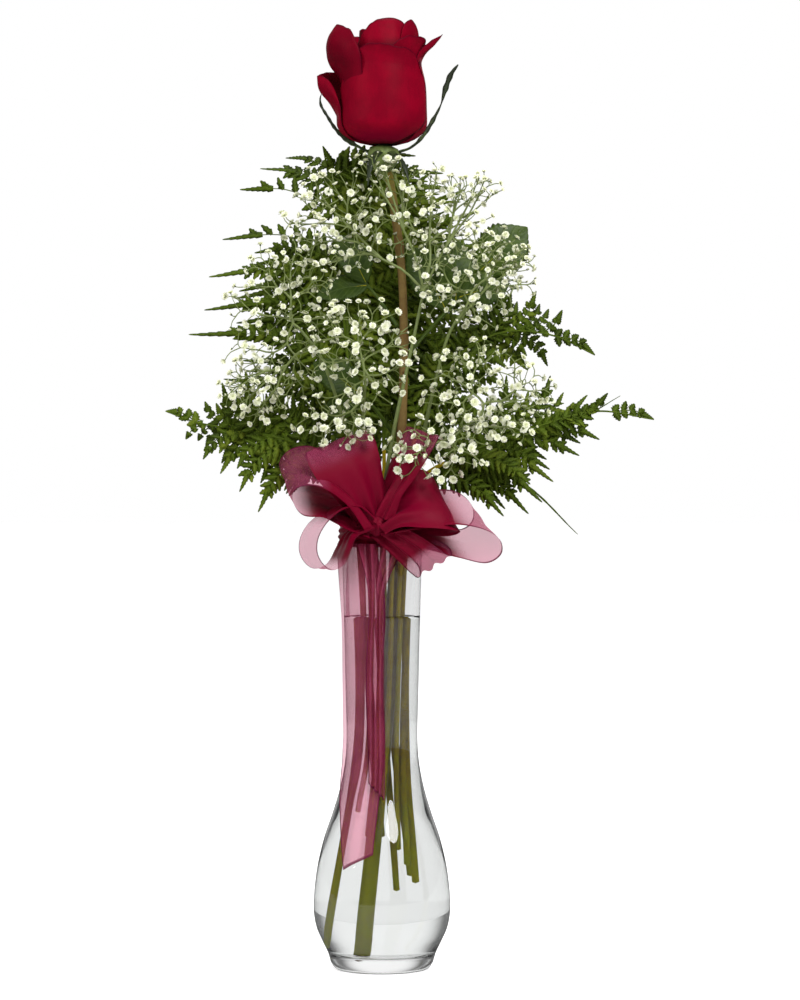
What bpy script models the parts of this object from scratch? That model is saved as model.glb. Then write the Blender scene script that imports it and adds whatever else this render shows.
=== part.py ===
"""A single rose in a glass bud vase, with leatherleaf fern, baby's breath and a sheer ribbon bow.

Run it in Blender 4.5 with: blender --background --python part.py
The frame is in metres with +Z up. The origin is the centre of the vase's base, and the bow faces -Y.
Sizes below are written in millimetres and turned into metres where a mesh is made.
"""

import math
import random

import bmesh
import bpy
from mathutils import Vector

MM = 0.001
CLEAR = 0.4  # between pieces that rest on each other

# Glass vase: a teardrop bulb under a tall neck
VASE_HEIGHT = 228.0
WALL = 2.6
FLOOR = 8.0
VASE_STEPS = 24
VASE_OUTLINE = [  # radius, height
    (22.6, 0.0), (25.2, 2.6), (26.9, 8.0), (29.8, 14.0), (32.8, 21.0), (34.2, 30.0), (33.7, 40.0),
    (32.1, 52.0), (29.0, 65.0), (24.9, 77.0), (21.0, 90.0), (18.5, 103.0), (17.7, 116.0),
    (18.1, 136.0), (18.9, 172.0), (20.0, 208.0), (21.0, 228.0),
]
LIP = 0.7  # how far the fire-polished rim stands above the straight wall
WATER_LEVEL = 175.0
WATER_STEPS = 20

# Rose
ROSE_STEM_ROUTE = [(-7.5, 2, 9), (-2.5, 2, 70), (3, 1, 150), (6.5, 0, 210), (10.5, 0, 285), (10, 0, 345), (4, 0, 393)]
ROSE_STEM_RADIUS = 3.0
ROSE_STEM_ROUND = 3  # bevel resolution of the stem
HIP_RADIUS = 7.6
HIP_LENGTH = 15.0
BLOOM_BASE = Vector((0.8, 0.0, 409.0))
BOWL_HEIGHT = 17.0  # of the petals' rounded lower part
PETAL = 0.5  # thickness
SEPAL = 0.5

# Stems of the greenery, which stand in a ring inside the vase's mouth
MOUTH_RING = 12.4
WAIST_RING = 10.9
WAIST_HEIGHT = 114.0
THIN_STEM_ROUND = 1  # bevel resolution of these stems
FERN_STEM = 1.5
FERN_BLADE = 0.7
SPRIG_STEM = 1.1
FLOWER_CLUSTERS = 8  # on each sprig of baby's breath
CLUSTER_RADIUS = 3.8

# Ribbon
RIBBON_WIDTH = 20.0  # gathered, where it leaves the knot
RIBBON = 0.5  # thickness of the gathered cloth
TIE_HEIGHT = 217.0
TIE_WIDTH = 8.0
TIE = 0.8
KNOT_RADIUS = 6.0
KNOT_DEPTH = 11.0
KNOT_HEIGHT = 222.0


def clear_scene():
    for obj in list(bpy.data.objects):
        bpy.data.objects.remove(obj)


def new_collection(name):
    collection = bpy.data.collections.new(name)
    bpy.context.scene.collection.children.link(collection)
    return collection


def material(name, colour, roughness, alpha=1.0):
    made = bpy.data.materials.new(name)
    made.use_nodes = True
    shader = made.node_tree.nodes["Principled BSDF"]
    shader.inputs["Base Color"].default_value = (*colour, 1.0)
    shader.inputs["Roughness"].default_value = roughness
    shader.inputs["Metallic"].default_value = 0.0
    shader.inputs["Alpha"].default_value = alpha
    return made


clear_scene()
flowers = new_collection("rose_in_bud_vase")
helpers = new_collection("cutters")
glass = material("clear_glass", (0.92, 0.95, 0.94), 0.05, 0.3)
water_look = material("water", (0.85, 0.92, 0.93), 0.05, 0.3)
petal_red = material("petal_red", (0.26, 0.0, 0.012), 0.6)
stem_green = material("stem_green", (0.14, 0.17, 0.03), 0.5)
leaf_green = material("leaf_green", (0.03, 0.08, 0.015), 0.4)
fern_green = material("fern_green", (0.03, 0.085, 0.01), 0.45)
blossom_white = material("blossom_white", (0.75, 0.8, 0.62), 0.8)
organza = material("organza_red", (0.27, 0.006, 0.045), 0.5, 0.45)


# ---- general shapes ----


def smooth(points, count):
    """count points evenly along a Catmull-Rom curve through the given ones."""
    route = [Vector(p) for p in points]
    ends = [2 * route[0] - route[1], *route, 2 * route[-1] - route[-2]]
    fine = []
    for i in range(1, len(ends) - 2):
        a, b, c, d = ends[i - 1 : i + 3]
        for step in range(12):
            t = step / 12
            bend = (2 * a - 5 * b + 4 * c - d) * t**2 + (3 * b - a - 3 * c + d) * t**3
            fine.append(0.5 * (2 * b + (c - a) * t + bend))
    fine.append(ends[-2])
    lengths = [0.0]
    for p, q in zip(fine, fine[1:]):
        lengths.append(lengths[-1] + (q - p).length)
    spaced, at = [], 0
    for i in range(count):
        want = lengths[-1] * i / (count - 1)
        while at < len(fine) - 2 and lengths[at + 1] < want:
            at += 1
        share = (want - lengths[at]) / max(lengths[at + 1] - lengths[at], 1e-9)
        spaced.append(fine[at].lerp(fine[at + 1], min(1.0, share)))
    return spaced


def along(points, share):
    """The place at a share, from 0 to 1, of a polyline's points."""
    at = share * (len(points) - 1)
    low = min(int(at), len(points) - 2)
    return points[low].lerp(points[low + 1], at - low)


def polar(degrees, radius, height=0.0):
    angle = math.radians(degrees)
    return Vector((radius * math.cos(angle), radius * math.sin(angle), height))


def shown(obj, look):
    obj.data.materials.clear()
    obj.data.materials.append(look)
    flowers.objects.link(obj)
    return obj


def helper(obj):
    helpers.objects.link(obj)
    obj.hide_render = True
    obj.display_type = "WIRE"
    return obj


def turned(name, profile, steps):
    """A solid of revolution from a profile of radius and height."""
    mesh = bpy.data.meshes.new(name)
    points = [(r * MM, 0, z * MM) for r, z in profile]
    mesh.from_pydata(points, [(i, i + 1) for i in range(len(points) - 1)], [])
    obj = bpy.data.objects.new(name, mesh)
    screw = obj.modifiers.new("turn", "SCREW")
    screw.steps = steps
    screw.render_steps = steps
    screw.use_merge_vertices = True
    screw.merge_threshold = 0.00005
    screw.use_smooth_shade = True
    return obj


def evaluated(obj):
    """The object's mesh after its modifiers, in world space. The object itself is removed."""
    if not obj.users_collection:
        helper(obj)
    bpy.context.view_layer.update()
    graph = bpy.context.evaluated_depsgraph_get()
    mesh = bpy.data.meshes.new_from_object(obj.evaluated_get(graph))
    mesh.transform(obj.matrix_world)
    mesh.name = obj.name
    bpy.data.objects.remove(obj)
    return mesh


def tube(name, points, radii, round_steps):
    """A round stem along points, with a radius for each point, as a mesh with welded caps."""
    curve = bpy.data.curves.new(name, "CURVE")
    curve.dimensions = "3D"
    curve.bevel_depth = MM
    curve.bevel_resolution = round_steps
    curve.use_fill_caps = True
    spline = curve.splines.new("POLY")
    spline.points.add(len(points) - 1)
    for point, place, radius in zip(spline.points, points, radii):
        point.co = (*(Vector(place) * MM), 1)
        point.radius = radius
    mesh = evaluated(bpy.data.objects.new(name, curve))
    shape = bmesh.new()
    shape.from_mesh(mesh)
    bmesh.ops.remove_doubles(shape, verts=shape.verts, dist=1e-6)
    bmesh.ops.recalc_face_normals(shape, faces=shape.faces)
    shape.to_mesh(mesh)
    shape.free()
    return bpy.data.objects.new(name, mesh)


def blade(name, across, along_it, place, thickness):
    """A thin solid from a grid bent by place(u, v), with u from -1 to 1 and v from 0 to 1."""
    shape = bmesh.new()
    bmesh.ops.create_grid(shape, x_segments=across, y_segments=along_it, size=1)
    for vert in shape.verts:
        vert.co = place(vert.co.x, (vert.co.y + 1) / 2) * MM
    mesh = bpy.data.meshes.new(name)
    shape.to_mesh(mesh)
    shape.free()
    obj = bpy.data.objects.new(name, mesh)
    solid = obj.modifiers.new("thickness", "SOLIDIFY")
    solid.thickness = thickness * MM
    solid.offset = 0
    return obj


def united(base, others):
    """One closed body from a base and the pieces that grow out of it."""
    for other in others:
        join = base.modifiers.new(other.name, "BOOLEAN")
        join.operation = "UNION"
        join.solver = "EXACT"
        join.object = helper(bpy.data.objects.new(other.name, evaluated(other)))
    return base


# ---- vase and water ----


def outline_radius(height):
    for (r0, z0), (r1, z1) in zip(VASE_OUTLINE, VASE_OUTLINE[1:]):
        if height <= z1:
            return r0 + (r1 - r0) * (height - z0) / (z1 - z0)
    return VASE_OUTLINE[-1][0]


def cavity(top, inset):
    """The vase's inside from its floor's centre up to a height, drawn in by inset."""
    floor = FLOOR + inset
    corner = outline_radius(floor + 5) - WALL - inset
    wall = [(outline_radius(z) - WALL - inset, z) for _, z in VASE_OUTLINE if floor + 5 < z < top - 1]
    return [(0, floor), (corner - 6, floor), (corner - 1.4, floor + 1.8), *wall,
            (outline_radius(top) - WALL - inset, top)]


def make_vase():
    rim = (outline_radius(VASE_HEIGHT) - WALL / 2, VASE_HEIGHT + LIP)
    profile = [*cavity(VASE_HEIGHT, 0), rim, *reversed(VASE_OUTLINE), (0, 0)]
    return shown(turned("glass_vase", profile, VASE_STEPS), glass)


def make_water(stems):
    """The water, with a channel for each stem that stands in it."""
    water = turned("water", [*cavity(WATER_LEVEL, CLEAR), (0, WATER_LEVEL)], WATER_STEPS)
    for name, points, radius, round_steps in stems:
        above = next(i for i, p in enumerate(points) if p.z > WATER_LEVEL + 2)
        below = points[: above + 1]
        cut = water.modifiers.new(name, "BOOLEAN")
        cut.operation = "DIFFERENCE"
        cut.solver = "EXACT"
        cut.object = helper(tube("channel_" + name, below, [radius + CLEAR] * len(below), round_steps))
    return shown(water, water_look)


# ---- rose ----


def make_rose_stem():
    """The stem with the hip that carries the bloom, grown as one piece."""
    below = smooth(ROSE_STEM_ROUTE, 14)
    hip = [BLOOM_BASE - Vector((0, 0, HIP_LENGTH * share)) for share in (0.7, 0.42, 0.2, 0.0)]
    radii = [ROSE_STEM_RADIUS] * len(below) + [3.6, 5.6, 7.0, HIP_RADIUS]
    shown(tube("rose_stem", [*below, *hip], radii, ROSE_STEM_ROUND), stem_green)
    return below


def cup(height):
    """How far out of its base ring a petal stands at a height above the hip, from 0 to 1."""
    rise = min(1.0, height / BOWL_HEIGHT)
    bowl = math.sqrt(1 - (1 - rise) ** 2)
    draw_in = 0.1 * max(0.0, (height - 2 * BOWL_HEIGHT) / 32.0) ** 1.3
    return bowl - draw_in


def petal_place(bearing, base, reach, tall, half_angle, slant, roll):
    """Where a petal's points stand: it grows from the hip's rim, cups round the bloom and rolls out."""

    def place(u, v):
        spread = half_angle * (0.42 + 0.58 * math.sin(math.pi / 2 * min(1.0, v / 0.62)))
        spread *= 1 - 0.26 * max(0.0, (v - 0.72) / 0.28) ** 2
        height = tall * (1 - 0.13 * u * u) * v
        radius = base + (reach - base) * cup(height) + slant * u * min(1.0, v * 2.2)
        turn = max(0.0, (v - 0.74) / 0.26) * (1 - u * u)
        radius += roll * turn**2
        height -= 0.35 * roll * turn**3
        return BLOOM_BASE + polar(bearing + spread * u, radius, height + CLEAR)

    return place


PETAL_RINGS = [  # base radius, reach, bearing of each petal, height, half angle, slant, roll of the rim
    (7.0, 22.6, [(262, 55, 72, 1.5), (22, 56, 70, 5.0), (142, 58, 65, 8.0)], 0.9),
    (5.9, 19.4, [(196, 61, 66, 1.0), (316, 60, 72, 1.0), (76, 61, 66, 1.0)], 0.8),
    (4.8, 16.2, [(256, 63, 74, 0.8), (16, 63, 72, 0.8), (136, 62, 72, 0.8)], 0.8),
    (3.7, 13.0, [(190, 65, 76, 0.5), (310, 65, 76, 0.5), (70, 64, 74, 0.5)], 0.8),
    (2.6, 9.8, [(250, 63, 100, 0.3), (70, 62, 100, 0.3)], 0.8),
    (1.4, 6.2, [(160, 60, 150, 0.0)], 0.0),
]


def make_petals():
    number = 0
    for base, reach, ring, slant in PETAL_RINGS:
        for bearing, tall, half_angle, roll in ring:
            number += 1
            place = petal_place(bearing, base, reach, tall, half_angle, slant, roll)
            across = 5 if half_angle < 90 else 9
            shown(blade(f"rose_petal_{number:02d}", across, 5, place, PETAL), petal_red)


SEPALS = [  # bearing, and how the spine reaches out and up from the hip's rim
    (6, [(0, 0), (8, -1), (17, 7), (23, 22), (28, 42)]),
    (176, [(0, 0), (9, -1), (17, 6), (23, 17), (24, 30)]),
    (248, [(0, 0), (7, -3), (12, -10), (14, -19)]),
    (304, [(0, 0), (7, -3), (13, -9), (16, -17)]),
    (96, [(0, 0), (9, -1), (18, 8), (23, 20), (24, 32)]),
]


def make_sepals():
    foot = BLOOM_BASE + Vector((0, 0, -1.6))
    for number, (bearing, reach) in enumerate(SEPALS, 1):
        out, side = polar(bearing, 1), polar(bearing + 90, 1)
        spine = smooth([foot + out * (HIP_RADIUS + 0.2 + r) + Vector((0, 0, z)) for r, z in reach], 9)

        def place(u, v):
            width = 3.1 * (1 - v) ** 0.8 * (0.55 + 0.45 * math.sin(math.pi / 2 * min(1, v * 2.5))) + 0.35
            return along(spine, v) + side * u * width

        shown(blade(f"rose_sepal_{number}", 2, 7, place, SEPAL), leaf_green)


# ---- leaves of the rose ----

LEAVES = {  # the stalk's route, and each leaflet's base, tip and width
    "rose_leaf_right": (
        [(13.8, 2.2, 308), (26, 7, 322), (40, 9.5, 336), (50, 10, 347)],
        [((49, 10, 346), (67, 10, 372), 19), ((38, 9, 334), (62, 7, 331), 16), ((37, 9, 334), (33, 12, 360), 15)],
    ),
    "rose_leaf_left": (
        [(7.6, 2.2, 322), (-1, 7, 334), (-9, 9.5, 344)],
        [((-8, 9.2, 343), (-22, 10, 368), 18), ((-7, 9, 342), (-33, 9, 337), 15)],
    ),
    "rose_leaf_low": (
        [(5.6, -1.7, 268), (-4, -8, 280), (-12, -11, 288)],
        [((-11, -10.6, 287), (-34, -11, 303), 18), ((-10, -10.4, 286), (-30, -12, 275), 14)],
    ),
}
LEAFLET = 0.6  # thickness
LEAFLET_DROOP = 2.5


def leaflet(name, base, tip, width, face):
    """An oval leaflet from base to tip, its upper side towards face."""
    run = tip - base
    side = run.cross(face).normalized()
    normal = side.cross(run).normalized()

    def place(u, v):
        half = width / 2 * math.sin(math.pi * (0.04 + 0.94 * v) ** 0.82)
        crease = abs(u) * half * 0.22
        return base + run * v + side * u * half + normal * (crease - LEAFLET_DROOP * v * v)

    return blade(name, 2, 6, place, LEAFLET)


def make_rose_leaves():
    towards_viewer = Vector((0, -1, 0.25))
    for name, (route, leaflets) in LEAVES.items():
        points = smooth(route, 5)
        grown = [
            leaflet(f"{name}_{i}", Vector(base), Vector(tip), width, towards_viewer)
            for i, (base, tip, width) in enumerate(leaflets)
        ]
        shown(united(tube(name, points, [0.9] * len(points), 1), grown), leaf_green)


# ---- stems of the greenery ----


def stem_in_vase(mouth, foot, foot_radius, foot_height):
    """Foot, waist and mouth points of a stem, which turns from its mouth's bearing to its foot's."""
    return [
        polar(foot, foot_radius, foot_height),
        polar(mouth + 0.45 * (foot - mouth), WAIST_RING, WAIST_HEIGHT),
        polar(mouth, MOUTH_RING, VASE_HEIGHT - 8),
    ]


def taper(points, thick, thin):
    """A radius for each point: thick up to the vase's mouth, then tapering to thin at the tip."""
    top = len([p for p in points if p.z < VASE_HEIGHT + 10])
    rest = len(points) - top
    return [thick] * top + [thick + (thin - thick) * (i + 1) / rest for i in range(rest)]


# ---- leatherleaf fern ----

FRONDS = {  # stem in the vase, the rachis above it, and the share along the rachis and the tip of each side branch
    "fern_frond_left": {
        "stem": (128, 92, 14.0, 62.0),
        "rachis": [(-12, 12, 255), (-17, 15, 300), (-21, 17, 345), (-25, 18, 385), (-30, 19, 413)],
        "branches": [(0.14, (-91, 13, 285)), (0.30, (-97, 12, 317)), (0.42, (-92, 13, 331)), (0.54, (-87, 14, 346)),
                     (0.66, (-81, 15, 366)), (0.78, (-72, 16, 391)), (0.88, (-62, 17, 402)), (0.24, (24, 21, 285)),
                     (0.44, (28, 21, 330)), (0.62, (20, 21, 362)), (0.80, (6, 21, 392))],
    },
    "fern_frond_low_left": {
        "stem": (180, 160, 21.0, 14.0),
        "rachis": [(-19, -3, 246), (-40, -9, 261), (-66, -13, 268), (-90, -15, 272), (-107, -16, 278)],
        "branches": [(0.20, (-61, -18, 228)), (0.34, (-70, -19, 238)), (0.48, (-80, -19, 247)), (0.62, (-88, -18, 254)),
                     (0.78, (-96, -17, 263)), (0.30, (-56, -10, 298)), (0.50, (-76, -12, 296)), (0.68, (-92, -14, 289))],
    },
    "fern_frond_right": {
        "stem": (42, -6, 17.0, 43.0),
        "rachis": [(14, 12, 255), (24, 15, 286), (40, 17, 308), (62, 17, 319), (86, 14, 317), (108, 10, 308)],
        "branches": [(0.16, (48, 20, 268)), (0.34, (58, 20, 284)), (0.52, (70, 18, 298)), (0.68, (84, 15, 301)),
                     (0.24, (10, 22, 322)), (0.42, (38, 22, 344)), (0.58, (62, 19, 345)), (0.74, (84, 15, 336))],
    },
    "fern_frond_low_right": {
        "stem": (352, 328, 15.0, 52.0),
        "rachis": [(19, -4, 244), (44, -9, 258), (76, -12, 270), (106, -13, 278), (135, -12, 274)],
        "branches": [(0.14, (97, -22, 217)), (0.28, (84, -20, 242)), (0.42, (99, -18, 255)), (0.58, (112, -16, 264)),
                     (0.26, (58, -6, 290)), (0.42, (84, -8, 296)), (0.56, (119, -10, 287))],
    },
    "fern_frond_back": {
        "stem": (88, 40, 13.0, 45.0),
        "rachis": [(1, 20, 250), (0, 34, 288), (-2, 46, 330), (-4, 54, 370)],
        "branches": [(0.16, (-52, 40, 250)), (0.38, (-58, 48, 294)), (0.60, (-44, 54, 334)), (0.80, (-28, 58, 362)),
                     (0.22, (56, 42, 252)), (0.44, (58, 50, 298)), (0.64, (42, 56, 338)), (0.82, (20, 60, 368))],
    },
}
BRANCH_WIDTH = 15.0
BRANCH_ARCH = 0.07  # of its length


def frond_branch(name, base, tip):
    """A side branch of a frond as one lance-shaped blade, which arches and then droops to its tip."""
    middle = base.lerp(tip, 0.5) + Vector((0, 0, BRANCH_ARCH * (tip - base).length))
    spine = smooth([base, middle, tip], 6)
    side = (tip - base).cross(Vector((0, 1, 0))).normalized()

    def place(u, v):
        half = BRANCH_WIDTH / 2 * (1 - v) ** 0.75 * min(1.0, 0.35 + 3.2 * v) + 0.4
        return along(spine, v) + side * u * half - Vector((0, 0.8 * abs(u), 0))

    return blade(name, 2, 5, place, FERN_BLADE)


def make_fronds():
    stems = []
    for name, frond in FRONDS.items():
        points = smooth([*stem_in_vase(*frond["stem"]), *frond["rachis"]], 17)
        stems.append((name, points, FERN_STEM, THIN_STEM_ROUND))
        rachis = [p for p in points if p.z > VASE_HEIGHT + 12]
        branches = [
            frond_branch(f"{name}_{i}", along(rachis, share), Vector(tip))
            for i, (share, tip) in enumerate(frond["branches"])
        ]
        stem = tube(name, points, taper(points, FERN_STEM, 0.5), THIN_STEM_ROUND)
        shown(united(stem, branches), fern_green)
    return stems


# ---- baby's breath ----

SPRIGS = {  # stem in the vase, route above the mouth, and the spray's centre and half sizes
    "babys_breath_top": ((272, 240, 12.0, 66.0), [(4, -14, 258), (17, -15, 320), (24, -14, 352)],
                         (24, -12, 376), (30, 10, 28)),
    "babys_breath_left": ((216, 186, 14.0, 72.0), [(-14, -14, 255), (-28, -24, 300), (-40, -27, 318)],
                          (-47, -27, 332), (34, 10, 38)),
    "babys_breath_right": ((326, 300, 14.0, 60.0), [(18, -9, 255), (31, -20, 310), (42, -24, 330)],
                           (50, -25, 344), (29, 10, 24)),
    "babys_breath_low_right": ((300, 268, 12.0, 70.0), [(12, -19, 250), (34, -33, 266), (48, -40, 274)],
                               (62, -40, 286), (30, 10, 27)),
    "babys_breath_centre": ((248, 214, 12.0, 78.0), [(-8, -15, 247), (-9, -28, 276), (-8, -40, 290)],
                            (-8, -46, 302), (24, 9, 28)),
    "babys_breath_back": ((106, 60, 10.0, 38.0), [(-4, 22, 250), (-5, 50, 285), (-4, 66, 308)],
                          (-3, 72, 332), (36, 9, 36)),
}
GOLDEN_TURN = math.pi * (3 - math.sqrt(5))


def flower_cluster(name, centre):
    shape = bmesh.new()
    bmesh.ops.create_icosphere(shape, subdivisions=1, radius=CLUSTER_RADIUS * MM)
    bmesh.ops.translate(shape, verts=shape.verts, vec=centre * MM)
    mesh = bpy.data.meshes.new(name)
    shape.to_mesh(mesh)
    shape.free()
    return bpy.data.objects.new(name, mesh)


def make_sprigs():
    stems = []
    for number, (name, (stem, route, centre, size)) in enumerate(SPRIGS.items()):
        dice = random.Random(number)
        points = smooth([*stem_in_vase(*stem), *route], 13)
        stems.append((name, points, SPRIG_STEM, THIN_STEM_ROUND))
        upper = [p for p in points if p.z > VASE_HEIGHT + 12]
        grown = []
        for i in range(FLOWER_CLUSTERS):
            rise = 1 - 2 * (i + 0.5) / FLOWER_CLUSTERS
            ring = math.sqrt(1 - rise * rise)
            turn = i * GOLDEN_TURN
            way = (ring * math.cos(turn), ring * math.sin(turn), rise)
            tip = Vector([c + w * s * dice.uniform(0.84, 1.0) for c, w, s in zip(centre, way, size)])
            fork = along(upper, 0.72 + 0.22 * rise)
            grown.append(tube(f"{name}_branch_{i}", [fork, tip], [0.55, 0.45], 0))
            grown.append(flower_cluster(f"{name}_cluster_{i}", tip))
        stem = tube(name, points, taper(points, SPRIG_STEM, 0.8), THIN_STEM_ROUND)
        shown(united(stem, grown), blossom_white)
    return stems


# ---- ribbon ----

TIE_RADIUS = outline_radius(TIE_HEIGHT + TIE_WIDTH / 2) + CLEAR
KNOT = Vector((-3.0, -(TIE_RADIUS + TIE + 0.3 + KNOT_DEPTH / 2), KNOT_HEIGHT))
LOOPS = {  # bearing seen from the front, reach, opening, lean towards the front, tilt about the loop's length
    "bow_loop_hanging_left": (212, 42, 15, -4, 20),
    "bow_loop_left": (158, 48, 12, -3, 40),
    "bow_loop_upper_left": (118, 46, 12, -3, 40),
    "bow_loop_top": (68, 50, 12, -3, 35),
    "bow_loop_upper_right": (26, 38, 11, -3, 40),
    "bow_loop_right": (352, 60, 11, -3, 40),
    "bow_loop_lower_right": (318, 40, 11, -3, 30),
}
TAILS = {  # bearing round the neck, half width, distance from the glass, lower end, sideways sway in degrees
    "bow_tail_long": (228, 13.0, 0.8, 51.0, -2),
    "bow_tail_short": (255, 6.5, 1.9, 90.0, 3),
}


def bow_loop(name, bearing, reach, opening, lean, tilt):
    """A closed loop of ribbon that leaves the knot's side and comes back to it."""
    out = Vector((math.cos(math.radians(bearing)), 0, math.sin(math.radians(bearing))))
    side = Vector((-out.z, 0, out.x))
    front = Vector((0, 1, 0))
    start = KNOT_RADIUS + CLEAR + RIBBON / 2
    half = [(start, 0.7), (reach * 0.42, opening * 0.3), (reach * 0.8, opening * 0.5), (reach, 0)]
    route = [*half, *((far, -wide) for far, wide in reversed(half[:-1]))]
    spine = smooth([KNOT + out * far + side * wide for far, wide in route], 15)

    def place(u, v):
        away = math.sin(math.pi * v) ** 0.7
        angle = math.radians(tilt) * away
        across = front * math.cos(angle) + side * math.sin(angle)
        width = RIBBON_WIDTH / 2 * (0.35 + 0.65 * away)
        return along(spine, v) + across * u * width + front * lean * away

    return shown(blade(name, 2, 14, place, RIBBON), organza)


def bow_tail(name, bearing, half_width, stand_off, bottom, sway):
    """A ribbon end that hangs from the tie down the front of the glass."""
    top = TIE_HEIGHT - TIE_WIDTH / 2 - CLEAR

    def place(u, v):
        height = top + (bottom - top) * v
        radius = outline_radius(height) + stand_off
        spread = math.degrees(u * half_width * (0.6 + 0.4 * min(1.0, v * 5)) / radius)
        return polar(bearing + sway * math.sin(math.pi * v) + spread, radius, height)

    return shown(blade(name, 4, 16, place, RIBBON), organza)


def make_tie_and_knot():
    low, high = TIE_HEIGHT - TIE_WIDTH / 2, TIE_HEIGHT + TIE_WIDTH / 2
    outer = TIE_RADIUS + TIE
    band = [(TIE_RADIUS, low), (TIE_RADIUS, high), (outer, high), (outer, low), (TIE_RADIUS, low)]
    shown(turned("neck_tie", band, VASE_STEPS), organza)
    bpy.ops.mesh.primitive_cylinder_add(
        vertices=12, radius=KNOT_RADIUS * MM, depth=KNOT_DEPTH * MM, location=KNOT * MM, rotation=(math.pi / 2, 0, 0)
    )
    knot = bpy.context.object
    knot.name = "bow_knot"
    knot.users_collection[0].objects.unlink(knot)
    rounding = knot.modifiers.new("round", "BEVEL")
    rounding.width = 1.6 * MM
    shown(knot, organza)


def make_ribbon():
    make_tie_and_knot()
    for name, shape in LOOPS.items():
        bow_loop(name, *shape)
    for name, shape in TAILS.items():
        bow_tail(name, *shape)


def main():
    make_vase()
    stems = [("rose_stem", make_rose_stem(), ROSE_STEM_RADIUS, ROSE_STEM_ROUND)]
    make_petals()
    make_sepals()
    make_rose_leaves()
    stems += make_fronds()
    stems += make_sprigs()
    make_water(stems)
    make_ribbon()


main()
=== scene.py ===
import math
import random

import bpy
import numpy as np
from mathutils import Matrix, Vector, noise


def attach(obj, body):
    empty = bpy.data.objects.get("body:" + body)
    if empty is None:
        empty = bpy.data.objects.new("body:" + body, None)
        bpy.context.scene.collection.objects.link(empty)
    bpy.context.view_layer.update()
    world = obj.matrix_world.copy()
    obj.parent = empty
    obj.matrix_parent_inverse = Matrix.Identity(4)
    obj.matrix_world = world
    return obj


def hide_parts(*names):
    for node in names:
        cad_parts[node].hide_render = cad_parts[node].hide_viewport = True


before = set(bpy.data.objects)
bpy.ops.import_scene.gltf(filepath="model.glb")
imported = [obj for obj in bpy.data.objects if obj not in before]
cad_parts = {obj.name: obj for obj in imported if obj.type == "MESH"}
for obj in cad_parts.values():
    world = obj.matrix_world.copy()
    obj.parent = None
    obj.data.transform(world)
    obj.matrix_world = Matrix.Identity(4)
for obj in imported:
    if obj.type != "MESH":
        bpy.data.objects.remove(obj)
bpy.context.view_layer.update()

mm = 0.001
scene = bpy.context.scene
print("frame loaded:", len(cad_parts), "nodes")


# lines, sheets and meshes

def unit(vectors):
    vectors = np.asarray(vectors, float)
    return vectors / np.maximum(np.linalg.norm(vectors, axis=-1, keepdims=True), 1e-12)


# how far each point of a line is from its start
def lengthsAlong(points):
    return np.concatenate([[0], np.cumsum(np.linalg.norm(np.diff(points, axis=0), axis=1))])


# a smooth line through the points, evenly spaced
def smoothLine(points, count):
    points = np.asarray(points, float)
    if len(points) == 2:
        return points[0] + (points[1] - points[0]) * np.linspace(0, 1, count)[:, None]
    ends = np.vstack([2 * points[0] - points[1], points, 2 * points[-1] - points[-2]])
    t = np.linspace(0, 1, 14, endpoint=False)[:, None]
    fine = [
        0.5 * (2 * b + (c - a) * t + (2 * a - 5 * b + 4 * c - d) * t**2 + (3 * b - a - 3 * c + d) * t**3)
        for a, b, c, d in zip(ends, ends[1:], ends[2:], ends[3:])
    ]
    fine = np.vstack(fine + [points[-1:]])
    gone = lengthsAlong(fine)
    at = np.linspace(0, gone[-1], count)
    return np.stack([np.interp(at, gone, fine[:, k]) for k in range(fine.shape[1])], 1)


# the value at x of a smooth curve through (x, value) pairs
def smoothValue(pairs, x):
    xs, ys = (np.array(side, float) for side in zip(*pairs))
    slopes = np.gradient(ys, xs)
    x = np.clip(x, xs[0], xs[-1])
    i = np.clip(np.searchsorted(xs, x) - 1, 0, len(xs) - 2)
    h = xs[i + 1] - xs[i]
    t = (x - xs[i]) / h
    return (
        (2 * t**3 - 3 * t**2 + 1) * ys[i] + (t**3 - 2 * t**2 + t) * h * slopes[i]
        + (3 * t**2 - 2 * t**3) * ys[i + 1] + (t**3 - t**2) * h * slopes[i + 1]
    )


def ease(x, low, high):
    x = np.clip((np.asarray(x, float) - low) / (high - low), 0, 1)
    return x * x * (3 - 2 * x)


def polar(degrees, radius, height):
    turn = math.radians(degrees)
    return (radius * math.cos(turn), radius * math.sin(turn), height)


# directions along a line, and two directions across it that turn as little as they can
def framesAlong(line):
    ways = unit(np.gradient(line, axis=0))
    side = np.cross((0.0, 0.0, 1.0), ways[0])
    if np.linalg.norm(side) < 1e-3:
        side = np.cross((1.0, 0.0, 0.0), ways[0])
    sides = []
    for way in ways:
        side = side - way * (side @ way)
        side = side / np.linalg.norm(side)
        sides.append(side)
    sides = np.array(sides)
    return ways, sides, np.cross(ways, sides)


def gridQuads(rows, cols, around=False):
    r = np.arange(rows - 1)[:, None] * cols
    c = np.arange(cols if around else cols - 1)[None]
    n = (c + 1) % cols
    return np.stack([r + c, r + n, r + n + cols, r + c + cols], -1).reshape(-1, 4)


# triangles from the first and last ring of a tube to a point at each end
def endFans(last, sides, low, high):
    i = np.arange(sides)
    j = (i + 1) % sides
    return [np.stack([j, i, np.full(sides, low)], 1), np.stack([last + i, last + j, np.full(sides, high)], 1)]


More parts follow.
